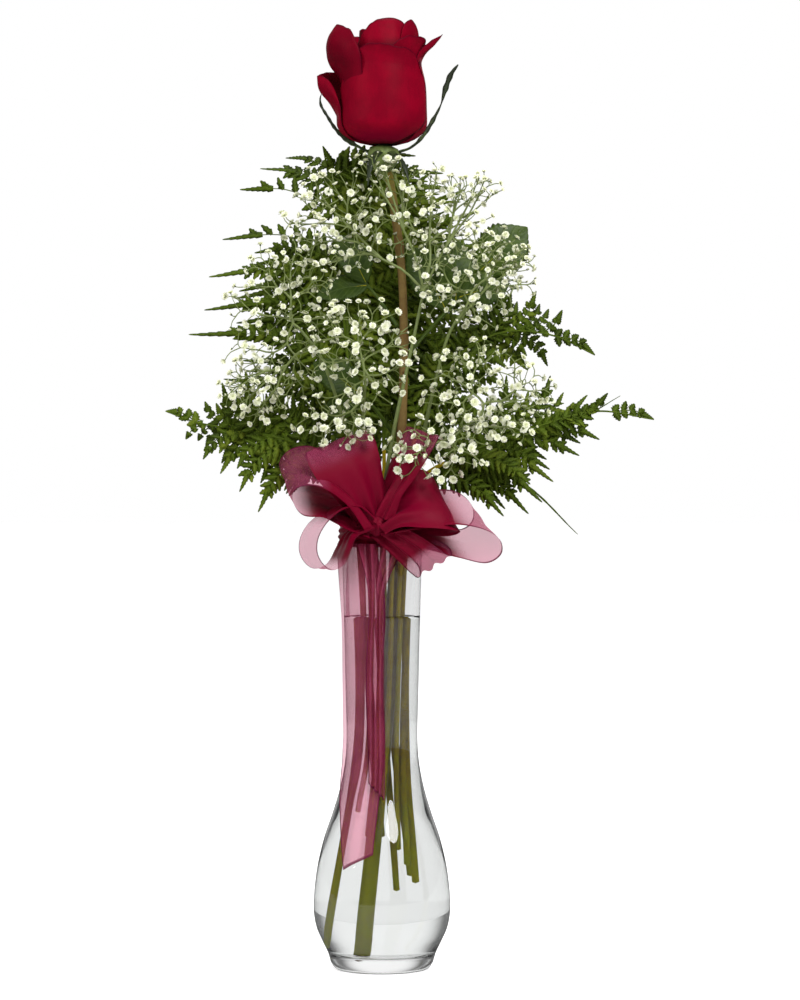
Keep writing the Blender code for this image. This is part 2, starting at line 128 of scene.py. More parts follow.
# gathers many small shapes into one mesh; tone is a number for each point that the material reads
class Pile:
    def __init__(self):
        self.points, self.faces, self.maps, self.tones, self.paints, self.count = [], [], [], [], [], 0

    def add(self, points, faces, maps=None, tone=0.5, paint=0):
        points = np.asarray(points, float).reshape(-1, 3)
        for block in faces if isinstance(faces, list) else [faces]:
            self.faces.append(np.asarray(block) + self.count)
            self.paints.append(np.full(len(block), paint))
        self.points.append(points)
        self.maps.append(np.zeros((len(points), 2)) if maps is None else np.asarray(maps, float).reshape(-1, 2))
        self.tones.append(np.broadcast_to(np.asarray(tone, float).ravel(), (len(points),)))
        self.count += len(points)

    def mesh(self, name):
        me = bpy.data.meshes.new(name)
        points, maps = np.vstack(self.points), np.vstack(self.maps)
        corners = np.concatenate([block.ravel() for block in self.faces]).astype(np.int32)
        sizes = np.concatenate([np.full(len(block), block.shape[1]) for block in self.faces]).astype(np.int32)
        starts = np.concatenate([[0], np.cumsum(sizes)[:-1]]).astype(np.int32)
        me.vertices.add(len(points))
        me.vertices.foreach_set("co", points.astype(np.float32).ravel())
        me.loops.add(len(corners))
        me.loops.foreach_set("vertex_index", corners)
        me.polygons.add(len(sizes))
        me.polygons.foreach_set("loop_start", starts)
        me.polygons.foreach_set("loop_total", sizes)
        me.polygons.foreach_set("material_index", np.concatenate(self.paints).astype(np.int32))
        me.update(calc_edges=True)
        me.validate()
        me.uv_layers.new(name="bladeMap").data.foreach_set("uv", maps[corners].astype(np.float32).ravel())
        tone = me.attributes.new("tone", "FLOAT", "POINT")
        tone.data.foreach_set("value", np.concatenate(self.tones).astype(np.float32))
        me.shade_smooth()
        return me


# makes the finished piece, which stands in for its CAD nodes
def finishPiece(name, pile, materials, nodes):
    ob = bpy.data.objects.new(name, pile.mesh(name))
    scene.collection.objects.link(ob)
    for mat in materials:
        ob.data.materials.append(mat)
    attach(ob, "root")
    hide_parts(*nodes)
    print("  ", name, len(ob.data.polygons), "faces")
    return ob


# a round tube along a line, with domed ends
def addTube(pile, line, radii, sides=8, tone=0.5, paint=0, ends=True):
    line = np.asarray(line, float)
    radii = np.broadcast_to(np.asarray(radii, float), (len(line),))
    ways, across, up = framesAlong(line)
    turn = np.linspace(0, 2 * np.pi, sides, endpoint=False)
    ring = across[:, None] * np.cos(turn)[None, :, None] + up[:, None] * np.sin(turn)[None, :, None]
    points = (line[:, None] + ring * radii[:, None, None]).reshape(-1, 3)
    share = np.linspace(0, 1, len(line))
    maps = np.stack(np.broadcast_arrays(turn[None] / (2 * np.pi), share[:, None]), -1).reshape(-1, 2)
    faces = [gridQuads(len(line), sides, True)]
    tones = np.repeat(np.broadcast_to(np.asarray(tone, float), (len(line),)), sides)
    if ends:
        tips = [line[0] - ways[0] * radii[0] * 0.5, line[-1] + ways[-1] * radii[-1] * 0.5]
        faces += endFans((len(line) - 1) * sides, sides, len(points), len(points) + 1)
        points = np.vstack([points, tips])
        maps = np.vstack([maps, [[0.5, 0], [0.5, 1]]])
        tones = np.concatenate([tones, [tones[0], tones[-1]]])
    pile.add(points, faces, maps, tones, paint)


# a closed thin sheet: points are its middle, rows by columns, and thick is its half thickness
def addSheet(pile, points, thick, tone=0.5, paint=0):
    rows, cols = points.shape[:2]
    normals = unit(np.cross(np.gradient(points, axis=1), np.gradient(points, axis=0)))
    thick = np.broadcast_to(np.asarray(thick, float), (rows, cols))
    top = points + normals * thick[..., None]
    low = (points - normals * thick[..., None])[:, cols - 2:0:-1]
    ring = np.concatenate([top, low], 1)
    ring[:, 0], ring[:, cols - 1] = points[:, 0], points[:, -1]
    u, v = np.linspace(0, 1, cols), np.linspace(0, 1, rows)
    maps = np.stack(np.broadcast_arrays(np.concatenate([u, u[cols - 2:0:-1]])[None], v[:, None]), -1)
    width = 2 * cols - 2
    faces = [gridQuads(rows, width, True)]
    i = np.arange(cols - 1)
    cap = np.stack([i, i + 1, (width - i - 1) % width, (width - i) % width], 1)
    for start, loop in ((0, cap[:, ::-1]), ((rows - 1) * width, cap)):
        faces.append(loop[1:-1] + start)
        faces += [np.array([list(dict.fromkeys(end.tolist()))]) + start for end in (loop[0], loop[-1])]
    tones = np.repeat(tone, width) if np.size(tone) == rows else tone
    pile.add(ring, faces, maps, tones, paint)


# shader helpers; an input takes a value or another node's socket

def feed(socket, value):
    if isinstance(value, bpy.types.NodeSocket):
        socket.id_data.links.new(value, socket)
    else:
        socket.default_value = value


# a new node; in the names of its inputs a line stands for a space, and i3 for the input with number 3
def linked(tree, kind, settings=None, **inputs):
    node = tree.nodes.new(kind)
    for key, value in (settings or {}).items():
        setattr(node, key, value)
    for key, value in inputs.items():
        feed(node.inputs[int(key[1:]) if key[1:].isdigit() else key.replace("_", " ")], value)
    return node


def ownTree(*values):
    return next(value for value in values if isinstance(value, bpy.types.NodeSocket)).id_data


def mathStep(operation):
    def step(a, b, clamp=False):
        settings = {"operation": operation, "use_clamp": clamp}
        return linked(ownTree(a, b), "ShaderNodeMath", settings, i0=a, i1=b).outputs[0]
    return step


plus, minus, times, over = (mathStep(kind) for kind in ("ADD", "SUBTRACT", "MULTIPLY", "DIVIDE"))
larger, power = mathStep("MAXIMUM"), mathStep("POWER")


def mathOne(operation, a):
    return linked(a.id_data, "ShaderNodeMath", {"operation": operation}, i0=a).outputs[0]


def mixed(share, a, b):
    return linked(ownTree(share, a, b), "ShaderNodeMix", {"data_type": "RGBA"}, i0=share, i6=a, i7=b).outputs[2]


def eased(value, low, high, start=0.0, end=1.0):
    return linked(value.id_data, "ShaderNodeMapRange", {"interpolation_type": "SMOOTHSTEP"}, Value=value,
                  From_Min=low, From_Max=high, To_Min=start, To_Max=end).outputs[0]


def rgb(r, g, b):
    return (r, g, b, 1.0)


# cloud-like noise, fixed to the piece unless another vector is given
def cloudy(tree, scale, detail, **inputs):
    if "Vector" not in inputs:
        inputs["Vector"] = tree.nodes.new("ShaderNodeTexCoord").outputs["Object"]
    return linked(tree, "ShaderNodeTexNoise", Scale=scale, Detail=detail, **inputs).outputs["Fac"]


# the map of a blade or sheet: X runs across it, and Y from its base to its tip
def bladeMap(tree):
    return linked(tree, "ShaderNodeUVMap", {"uv_map": "bladeMap"}).outputs[0]


def splitUp(vector):
    return linked(vector.id_data, "ShaderNodeSeparateXYZ", Vector=vector).outputs


def toneOf(tree):
    return linked(tree, "ShaderNodeAttribute", {"attribute_name": "tone"}).outputs["Fac"]


def bumped(shader, height, strength, distance):
    bump = linked(shader.id_data, "ShaderNodeBump", Strength=strength, Distance=distance, Height=height)
    feed(shader.inputs["Normal"], bump.outputs[0])


def newGroup(name, inputs, outputs):
    tree = bpy.data.node_groups.new(name, "ShaderNodeTree")
    for label, value in inputs.items():
        kind = "NodeSocketColor" if isinstance(value, tuple) else "NodeSocketFloat"
        tree.interface.new_socket(label, in_out="INPUT", socket_type=kind).default_value = value
    for label in outputs:
        kind = "NodeSocketColor" if label == "Color" else "NodeSocketFloat"
        tree.interface.new_socket(label, in_out="OUTPUT", socket_type=kind)
    return tree, tree.nodes.new("NodeGroupInput").outputs, tree.nodes.new("NodeGroupOutput").inputs


def placeGroup(tree, group, **inputs):
    return linked(tree, "ShaderNodeGroup", {"node_tree": group}, **inputs).outputs


def newMaterial(name, **inputs):
    mat = bpy.data.materials.new(name)
    mat.use_nodes = True
    shader = mat.node_tree.nodes["Principled BSDF"]
    for key, value in inputs.items():
        shader.inputs[key.replace("_", " ")].default_value = value
    return mat, mat.node_tree, shader


# living plant colour: the tone picks between three colours, and noise mottles it
def plantToneGroup():
    tree, given, out = newGroup(
        "plantTone",
        {"Dark": rgb(0.01, 0.03, 0.01), "Middle": rgb(0.05, 0.1, 0.02), "Light": rgb(0.2, 0.3, 0.06),
         "Mottle Scale": 300.0, "Mottle": 0.2},
        ["Color", "Height"])
    broad = cloudy(tree, given["Mottle Scale"], 3.0)
    fine = cloudy(tree, times(given["Mottle Scale"], 6.0), 2.0)
    both = plus(minus(broad, 0.5), times(minus(fine, 0.5), 0.5))
    level = plus(toneOf(tree), times(times(both, 3.0), given["Mottle"]))
    low, high = times(level, 2.0, True), minus(times(level, 2.0), 1.0, True)
    feed(out["Color"], mixed(high, mixed(low, given["Dark"], given["Middle"]), given["Light"]))
    feed(out["Height"], plus(broad, times(fine, 0.4)))
    return tree


# midrib and slanting side veins
def veinGroup():
    tree, given, out = newGroup(
        "leafVeins", {"Pairs": 7.0, "Slant": 0.35, "Fineness": 6.0, "Midrib Width": 0.04}, ["Midrib", "Veins"])
    split = splitUp(bladeMap(tree))
    off = mathOne("ABSOLUTE", minus(split["X"], 0.5))
    run = times(minus(split["Y"], times(off, given["Slant"])), given["Pairs"])
    beat = mathOne("ABSOLUTE", minus(mathOne("FRACT", run), 0.5))
    feed(out["Midrib"], minus(1.0, over(off, given["Midrib Width"]), True))
    feed(out["Veins"], minus(1.0, times(beat, given["Fineness"]), True))
    return tree


# how near a point is to the sides and to the far end of its sheet
def edgeGroup():
    tree, given, out = newGroup("sheetEdge", {"Side Width": 0.06, "End Width": 0.06}, ["Sides", "End"])
    split = splitUp(bladeMap(tree))
    off = minus(0.5, mathOne("ABSOLUTE", minus(split["X"], 0.5)))
    feed(out["Sides"], minus(1.0, over(off, given["Side Width"]), True))
    feed(out["End"], minus(1.0, over(minus(1.0, split["Y"]), given["End Width"]), True))
    return tree


# crossed threads of sheer cloth, counted over the whole sheet
def weaveGroup():
    tree, given, out = newGroup(
        "sheerWeave", {"Threads Across": 90.0, "Threads Along": 300.0}, ["Threads", "Height"])
    split = splitUp(bladeMap(tree))
    across, along = (
        plus(times(mathOne("SINE", times(times(split[axis], given[count]), 2 * math.pi)), 0.5), 0.5)
        for axis, count in (("X", "Threads Across"), ("Y", "Threads Along")))
    feed(out["Threads"], larger(across, along))
    feed(out["Height"], times(plus(across, along), 0.5))
    return tree


plantTone, leafVeins, sheetEdge, sheerWeave = plantToneGroup(), veinGroup(), edgeGroup(), weaveGroup()

# colours from dark to light; veins are pairs, slant, fineness and midrib width
plantLooks = {
    "roseBark": dict(colours=((0.1, 0.04, 0.016), (0.2, 0.14, 0.045), (0.26, 0.27, 0.01)), rough=0.45,
                     specular=0.08, mottleScale=150.0, mottle=0.16),
    "stemSkin": dict(colours=((0.13, 0.055, 0.008), (0.36, 0.27, 0.012), (0.32, 0.35, 0.012)), rough=0.5,
                     specular=0.03, mottleScale=180.0, mottle=0.2),
    "fernBlade": dict(colours=((0.011, 0.02, 0.0015), (0.052, 0.085, 0.004), (0.19, 0.23, 0.022)), rough=0.5,
                      specular=0.06, mottleScale=220.0, mottle=0.22, bump=0.00015,
                      veins=(5.0, 0.5, 5.0, 0.07), veinColour=(0.15, 0.2, 0.035)),
    "roseLeafBlade": dict(colours=((0.009, 0.022, 0.003), (0.03, 0.058, 0.004), (0.1, 0.145, 0.012)),
                          rough=0.42, specular=0.2, mottleScale=160.0, mottle=0.2, bump=0.0003,
                          veins=(8.0, 0.55, 5.0, 0.035), veinColour=(0.1, 0.15, 0.03)),
    "sepalSkin": dict(colours=((0.006, 0.008, 0.003), (0.018, 0.028, 0.009), (0.2, 0.27, 0.07)), rough=0.5,
                      specular=0.3, mottleScale=300.0, mottle=0.25),
    "sprigGreen": dict(colours=((0.05, 0.08, 0.015), (0.15, 0.19, 0.05), (0.34, 0.4, 0.14)), rough=0.5,
                       specular=0.5, mottleScale=400.0, mottle=0.12),
    # sprigPetal's darkest colour is the painted shade deep inside each flower
    "sprigPetal": dict(colours=((0.3, 0.36, 0.13), (0.74, 0.77, 0.5), (0.93, 0.93, 0.8)), rough=0.55,
                       specular=0.5, mottleScale=500.0, mottle=0.08, bump=0.0001),
}

velvetLook = {
    "body": (0.207, 0.0002, 0.011), "deep": (0.155, 0.0002, 0.009), "ribs": (0.13, 0.0, 0.008),
    "rim": (0.045, 0.0, 0.006), "foot": (0.19, 0.0, 0.02), "shade": (0.045, 0.0, 0.004),
    "footShare": 0.12, "edge": 0.035, "rough": 0.5, "specular": 0.03, "bump": 0.00012,
    "sheen": 0.01, "sheenTint": (1.0, 0.2, 0.35),
}

# cover is how much of the cloth is thread where it lies flat; weave, gathered and hem add to it
# the fold colour is painted shade: the ribbon darkens where the cloth is gathered, standing in for the shade
# between its layers
organzaLook = {
    "bright": (0.4, 0.07, 0.15), "deep": (0.29, 0.04, 0.1), "foldShade": (0.155, 0.0, 0.014),
    "edgeColour": (0.05, 0.001, 0.012), "through": (0.97, 0.69, 0.76),
    "cover": 0.29, "weave": 0.2, "gathered": 0.66, "hem": 0.5, "threads": (90.0, 300.0), "selvedge": 0.045,
    "rough": 0.45, "specular": 0.08, "sheen": 0.02, "sheenTint": (1.0, 0.45, 0.65),
}


def plantMaterial(name, colours, rough, specular, mottleScale, mottle, bump=0.0002, veins=None,
                  veinColour=None):
    mat, tree, shader = newMaterial(name, Roughness=rough, Specular_IOR_Level=specular)
    dark, middle, light = (rgb(*colour) for colour in colours)
    skin = placeGroup(tree, plantTone, Dark=dark, Middle=middle, Light=light,
                      Mottle_Scale=mottleScale, Mottle=mottle)
    colour, height = skin["Color"], skin["Height"]
    if veins:
        pairs, slant, fineness, width = veins
        lines = placeGroup(tree, leafVeins, Pairs=pairs, Slant=slant, Fineness=fineness, Midrib_Width=width)
        both = larger(lines["Midrib"], times(lines["Veins"], 0.5))
        colour = mixed(times(both, 0.5), colour, rgb(*veinColour))
        height = minus(times(height, 0.3), both)
    feed(shader.inputs["Base Color"], colour)
    feed(shader.inputs["Roughness"], plus(times(skin["Height"], 0.18), rough - 0.1))
    bumped(shader, height, 0.6, bump)
    return mat


def glassMaterial(name, tint, ior, waver=0.0):
    mat, tree, shader = newMaterial(name, Base_Color=rgb(*tint), IOR=ior, Roughness=0.0,
                                    Transmission_Weight=1.0)
    if waver:
        bumped(shader, cloudy(tree, 28.0, 1.0), 1.0, waver)
    return mat


def clothShader(name, look):
    return newMaterial(name, Roughness=look["rough"], Specular_IOR_Level=look["specular"],
                       Sheen_Weight=look["sheen"], Sheen_Tint=rgb(*look["sheenTint"]))


def petalMaterial(name, look):
    mat, tree, shader = clothShader(name, look)
    shader.inputs["Sheen Roughness"].default_value = 0.35
    where = bladeMap(tree)
    edge = placeGroup(tree, sheetEdge, Side_Width=look["edge"], End_Width=look["edge"])
    stretched = linked(tree, "ShaderNodeMapping", Vector=where, Scale=(46.0, 3.0, 1.0)).outputs[0]
    ribs = cloudy(tree, 1.0, 3.0, Vector=stretched, Distortion=0.4)
    body = mixed(eased(cloudy(tree, 70.0, 3.0), 0.35, 0.65), rgb(*look["body"]), rgb(*look["deep"]))
    body = mixed(times(eased(ribs, 0.45, 0.75), 0.22), body, rgb(*look["ribs"]))
    foot = minus(1.0, over(splitUp(where)["Y"], look["footShare"]), True)
    body = mixed(foot, body, rgb(*look["foot"]))
    rim = power(larger(edge["Sides"], edge["End"]), 1.4)
    body = mixed(times(rim, 0.85), body, rgb(*look["rim"]))
    # painted shade: the tone darkens petals where they lie deep in the bloom, in their neighbours' shade
    body = mixed(times(toneOf(tree), 0.9), body, rgb(*look["shade"]))
    feed(shader.inputs["Base Color"], body)
    bumped(shader, plus(ribs, times(cloudy(tree, 1800.0, 1.0), 0.25)), 0.5, look["bump"])
    return mat


# sheer cloth: the threads are lit like cloth, and between them the light behind comes through tinted
def organzaMaterial(name, look):
    mat, tree, shader = clothShader(name, look)
    across, along = look["threads"]
    cloth = placeGroup(tree, sheerWeave, Threads_Across=across, Threads_Along=along)
    edge = placeGroup(tree, sheetEdge, Side_Width=look["selvedge"], End_Width=0.012)
    hem = eased(larger(edge["Sides"], edge["End"]), 0.0, 0.5)
    gathered = toneOf(tree)
    colour = mixed(eased(cloudy(tree, 60.0, 3.0), 0.35, 0.65), rgb(*look["bright"]), rgb(*look["deep"]))
    colour = mixed(times(hem, 0.8), colour, rgb(*look["edgeColour"]))
    # painted shade: gathered cloth darkens to the colour of its painted fold shade
    colour = mixed(eased(gathered, 0.03, 0.45), colour, rgb(*look["foldShade"]))
    feed(shader.inputs["Base Color"], colour)
    cover = plus(times(cloth["Threads"], look["weave"]), look["cover"])
    cover = plus(cover, times(eased(gathered, 0.0, 0.6), look["gathered"]))
    cover = plus(cover, times(hem, look["hem"]), True)
    bumped(shader, cloth["Height"], 0.4, 0.0001)
    through = linked(tree, "ShaderNodeBsdfTransparent", Color=rgb(*look["through"])).outputs[0]
    both = linked(tree, "ShaderNodeMixShader", i0=cover, i1=through, i2=shader.outputs[0]).outputs[0]
    feed(tree.nodes["Material Output"].inputs["Surface"], both)
    return mat


clearGlass = glassMaterial("clearGlass", (0.985, 0.99, 0.99), 1.5, 0.00004)
clearWater = glassMaterial("clearWater", (0.985, 0.995, 0.985), 1.333)
velvetPetal = petalMaterial("velvetPetal", velvetLook)
sheerRibbon = organzaMaterial("sheerRibbon", organzaLook)
roseBark, stemSkin, fernBlade, roseLeafBlade, sepalSkin, sprigGreen, sprigPetal = (
    plantMaterial(name, **look) for name, look in plantLooks.items())
print("materials made")


# vase and water: lines of (radius, height) in millimetres

vase = {
    "height": 228.0,
    "outline": [(22.6, 0), (25.2, 2.6), (26.9, 8), (29.8, 14), (32.8, 21), (34.2, 30), (33.7, 40),
                (32.1, 52), (29, 65), (24.9, 77), (21, 90), (18.5, 103), (17.7, 116), (18.1, 136),
                (18.9, 172), (20, 208), (21, 228)],
    "foot": [(0, 1.3), (8, 1.25), (14, 1.0), (17.5, 0.5), (19.2, 0.08), (20.2, 0.0), (21.9, 0.0),
             (23.0, 0.25), (23.9, 0.85)],
    "outerLip": [(0.02, -0.6), (-0.35, -0.12), (-1.0, 0), (-1.6, -0.05)],  # from the wall's top, inward and up
    "innerLip": [(0.3, -0.45), (0.05, -0.9)],
    "wall": 2.6,
    "floor": 8.0,
    "corner": [(0.5, 3.2), (1.8, 1.6), (4.2, 0.5), (8, 0.1)],  # from the inner wall, inward and above the floor
    "cornerHeight": 5,
    "waterLevel": 175.0,
    "meniscus": 1.3,
    "meniscusSteps": (0.25, 0.6, 1.1, 1.8, 3.0, 5.0),
    "meniscusFade": 1.1,
    "overlap": 0.04,
    "steps": 128,
    "rows": 110,
}


def outlineRadius(height):
    radii, heights = zip(*vase["outline"])
    return np.interp(height, heights, radii)


# turns a line whose first and last points lie on the axis
def turnProfile(profile):
    steps = vase["steps"]
    profile = np.asarray(profile, float) * mm
    turn = np.linspace(0, 2 * np.pi, steps, endpoint=False)
    body = profile[1:-1]
    points = np.stack([body[:, :1] * np.cos(turn), body[:, :1] * np.sin(turn),
                       np.broadcast_to(body[:, 1:], (len(body), steps))], -1).reshape(-1, 3)
    poles = [(0, 0, profile[0, 1]), (0, 0, profile[-1, 1])]
    faces = [gridQuads(len(body), steps, True)]
    faces += endFans((len(body) - 1) * steps, steps, len(points), len(points) + 1)
    pile = Pile()
    pile.add(np.vstack([points, poles]), faces)
    return pile


def wallLine(inset, low, high):
    line = smoothLine([(r, z) for r, z in vase["outline"]], 400)
    line[:, 0] -= inset
    at = np.linspace(low, high, vase["rows"])
    return np.stack([np.interp(at, line[:, 1], line[:, 0]), at], 1)


# the inside of the bottom, from the wall to the middle
def innerFloor(corner, low):
    return [(corner - inward, low + up) for inward, up in vase["corner"]] + [(6, low), (0, low)]


def makeVase():
    top, low = vase["height"], vase["floor"]
    inner = wallLine(vase["wall"], low + vase["cornerHeight"], top - 1.3)[::-1]
    outer = wallLine(0.0, 1.6, top - 1.1)
    lip = [(outer[-1][0] + out, top + up) for out, up in vase["outerLip"]]
    lip += [(inner[0][0] + out, top + up) for out, up in vase["innerLip"]]
    pile = turnProfile(vase["foot"] + outer.tolist() + lip + inner.tolist() + innerFloor(inner[-1][0], low))
    finishPiece("vaseGlass", pile, [clearGlass], ["glass_vase"])


def makeWater():
    low, level, climb = vase["floor"] - vase["overlap"], vase["waterLevel"], vase["meniscus"]
    wall = wallLine(vase["wall"] - vase["overlap"], vase["floor"] + vase["cornerHeight"], level + climb)
    edge, fade = wall[-1][0], vase["meniscusFade"]
    top = [(edge - inward, level + climb * math.exp(-inward / fade)) for inward in vase["meniscusSteps"]]
    pile = turnProfile(innerFloor(wall[0][0], low)[::-1] + wall.tolist() + top + [(3, level), (0, level)])
    finishPiece("vaseWater", pile, [clearWater], ["water"])


# the stems spread their feet in the vase, cross at its waist and gather at its mouth

stemSpread = {
    "waistTurn": 0.45,
    "waist": (8.9, 120),
    "mouth": (12.4, 220),
}


def routeInVase(mouth, foot, footRadius, footHeight):
    waist = mouth + stemSpread["waistTurn"] * (foot - mouth)
    return [polar(foot, footRadius, footHeight), polar(waist, *stemSpread["waist"]),
            polar(mouth, *stemSpread["mouth"])]


# slow unevenness for a round stem
def uneven(count, amount, seed):
    return np.array([1 + amount * noise.noise((seed * 7.3, i * 9.0 / count, 0.0)) for i in range(count)])


# nodes are shares of the stem, thorns (share of the stem, bearing), hip (radius, height) from the bloom's base
roseStem = {
    "route": [(-7.5, 2, 9), (-2.5, 2, 70), (3, 1, 150), (6.5, 0, 210), (10.5, 0, 285), (10, 0, 345),
              (4, 0, 393), (1.4, 0, 398.5)],
    "radius": [(0, 3.1), (0.5, 2.7), (0.72, 2.2), (1, 2.1)],
    "tones": [(0, 0.9), (0.05, 0.96), (0.2, 0.92), (0.3, 0.6), (0.42, 0.4), (0.52, 0.3), (0.7, 0.34),
              (0.9, 0.4), (1, 0.6)],
    "nodes": [0.33, 0.52, 0.66, 0.78, 0.9],
    "nodeSwell": 0.55,
    "nodeDark": 0.14,
    "thorns": [(0.6, 160), (0.7, 340), (0.735, 200), (0.84, 20)],
    "thornRadii": [1.5, 1.0, 0.7, 0.5, 0.35, 0.2, 0.06],
    "hip": [(2.1, -14), (2.7, -12.5), (4.3, -10.5), (6.0, -8), (7.1, -5), (7.6, -2.5), (7.9, -1), (7.3, 0.3)],
}
bloomBase = np.array([0.8, 0.0, 409.0])


def makeRoseStem():
    count = 150
    line = smoothLine(roseStem["route"], count) * mm
    share = np.linspace(0, 1, count)
    radii = smoothValue(roseStem["radius"], share) * uneven(count, 0.07, 1)
    tones = smoothValue(roseStem["tones"], share)
    for at in roseStem["nodes"]:
        radii = radii + roseStem["nodeSwell"] * np.exp(-((share - at) / 0.007) ** 2)
        tones = tones - roseStem["nodeDark"] * np.exp(-((share - at) / 0.008) ** 2)
    pile = Pile()
    addTube(pile, line, radii * mm, 16, tones)
    ways, across, up = framesAlong(line)
    for at, turn in roseStem["thorns"]:
        i = int(at * count)
        out = across[i] * math.cos(math.radians(turn)) + up[i] * math.sin(math.radians(turn))
        root = line[i] + out * radii[i] * 0.8 * mm
        middle, tip = root + (out * 1.5 + ways[i] * 0.2) * mm, root + (out * 3.0 - ways[i] * 0.6) * mm
        addTube(pile, smoothLine([root, middle, tip], 7), np.array(roseStem["thornRadii"]) * mm, 8, 0.18)
    hipRadii, hipHeights = zip(*roseStem["hip"])
    hipLine = smoothLine(np.array([bloomBase + (0, 0, height) for height in hipHeights]) * mm, 20)
    wide = np.interp(np.linspace(0, 1, 20), np.linspace(0, 1, len(hipRadii)), hipRadii) * mm
    addTube(pile, hipLine, wide, 24, 0.86, 1)
    cut = [line[0] - ways[0] * 0.3 * mm, line[0] + ways[0] * 0.6 * mm]
    addTube(pile, cut, [3.0 * mm, 3.05 * mm], 16, 0.12)
    finishPiece("roseStem", pile, [roseBark, sepalSkin], ["rose_stem"])


# the bloom: each petal stands round the bloom's axis, with bearing and half spread in degrees, then millimetres
# side is (height, radius) up the petal, rim the rim's height from one side to the other
# flare is how far the rim turns out there, from the share rollFrom of its height up, turn how that grows from
# there, and drop how far its edge then turns down
# dark is the height below which it lies in its neighbours' shade, and cast the least shade it has anywhere

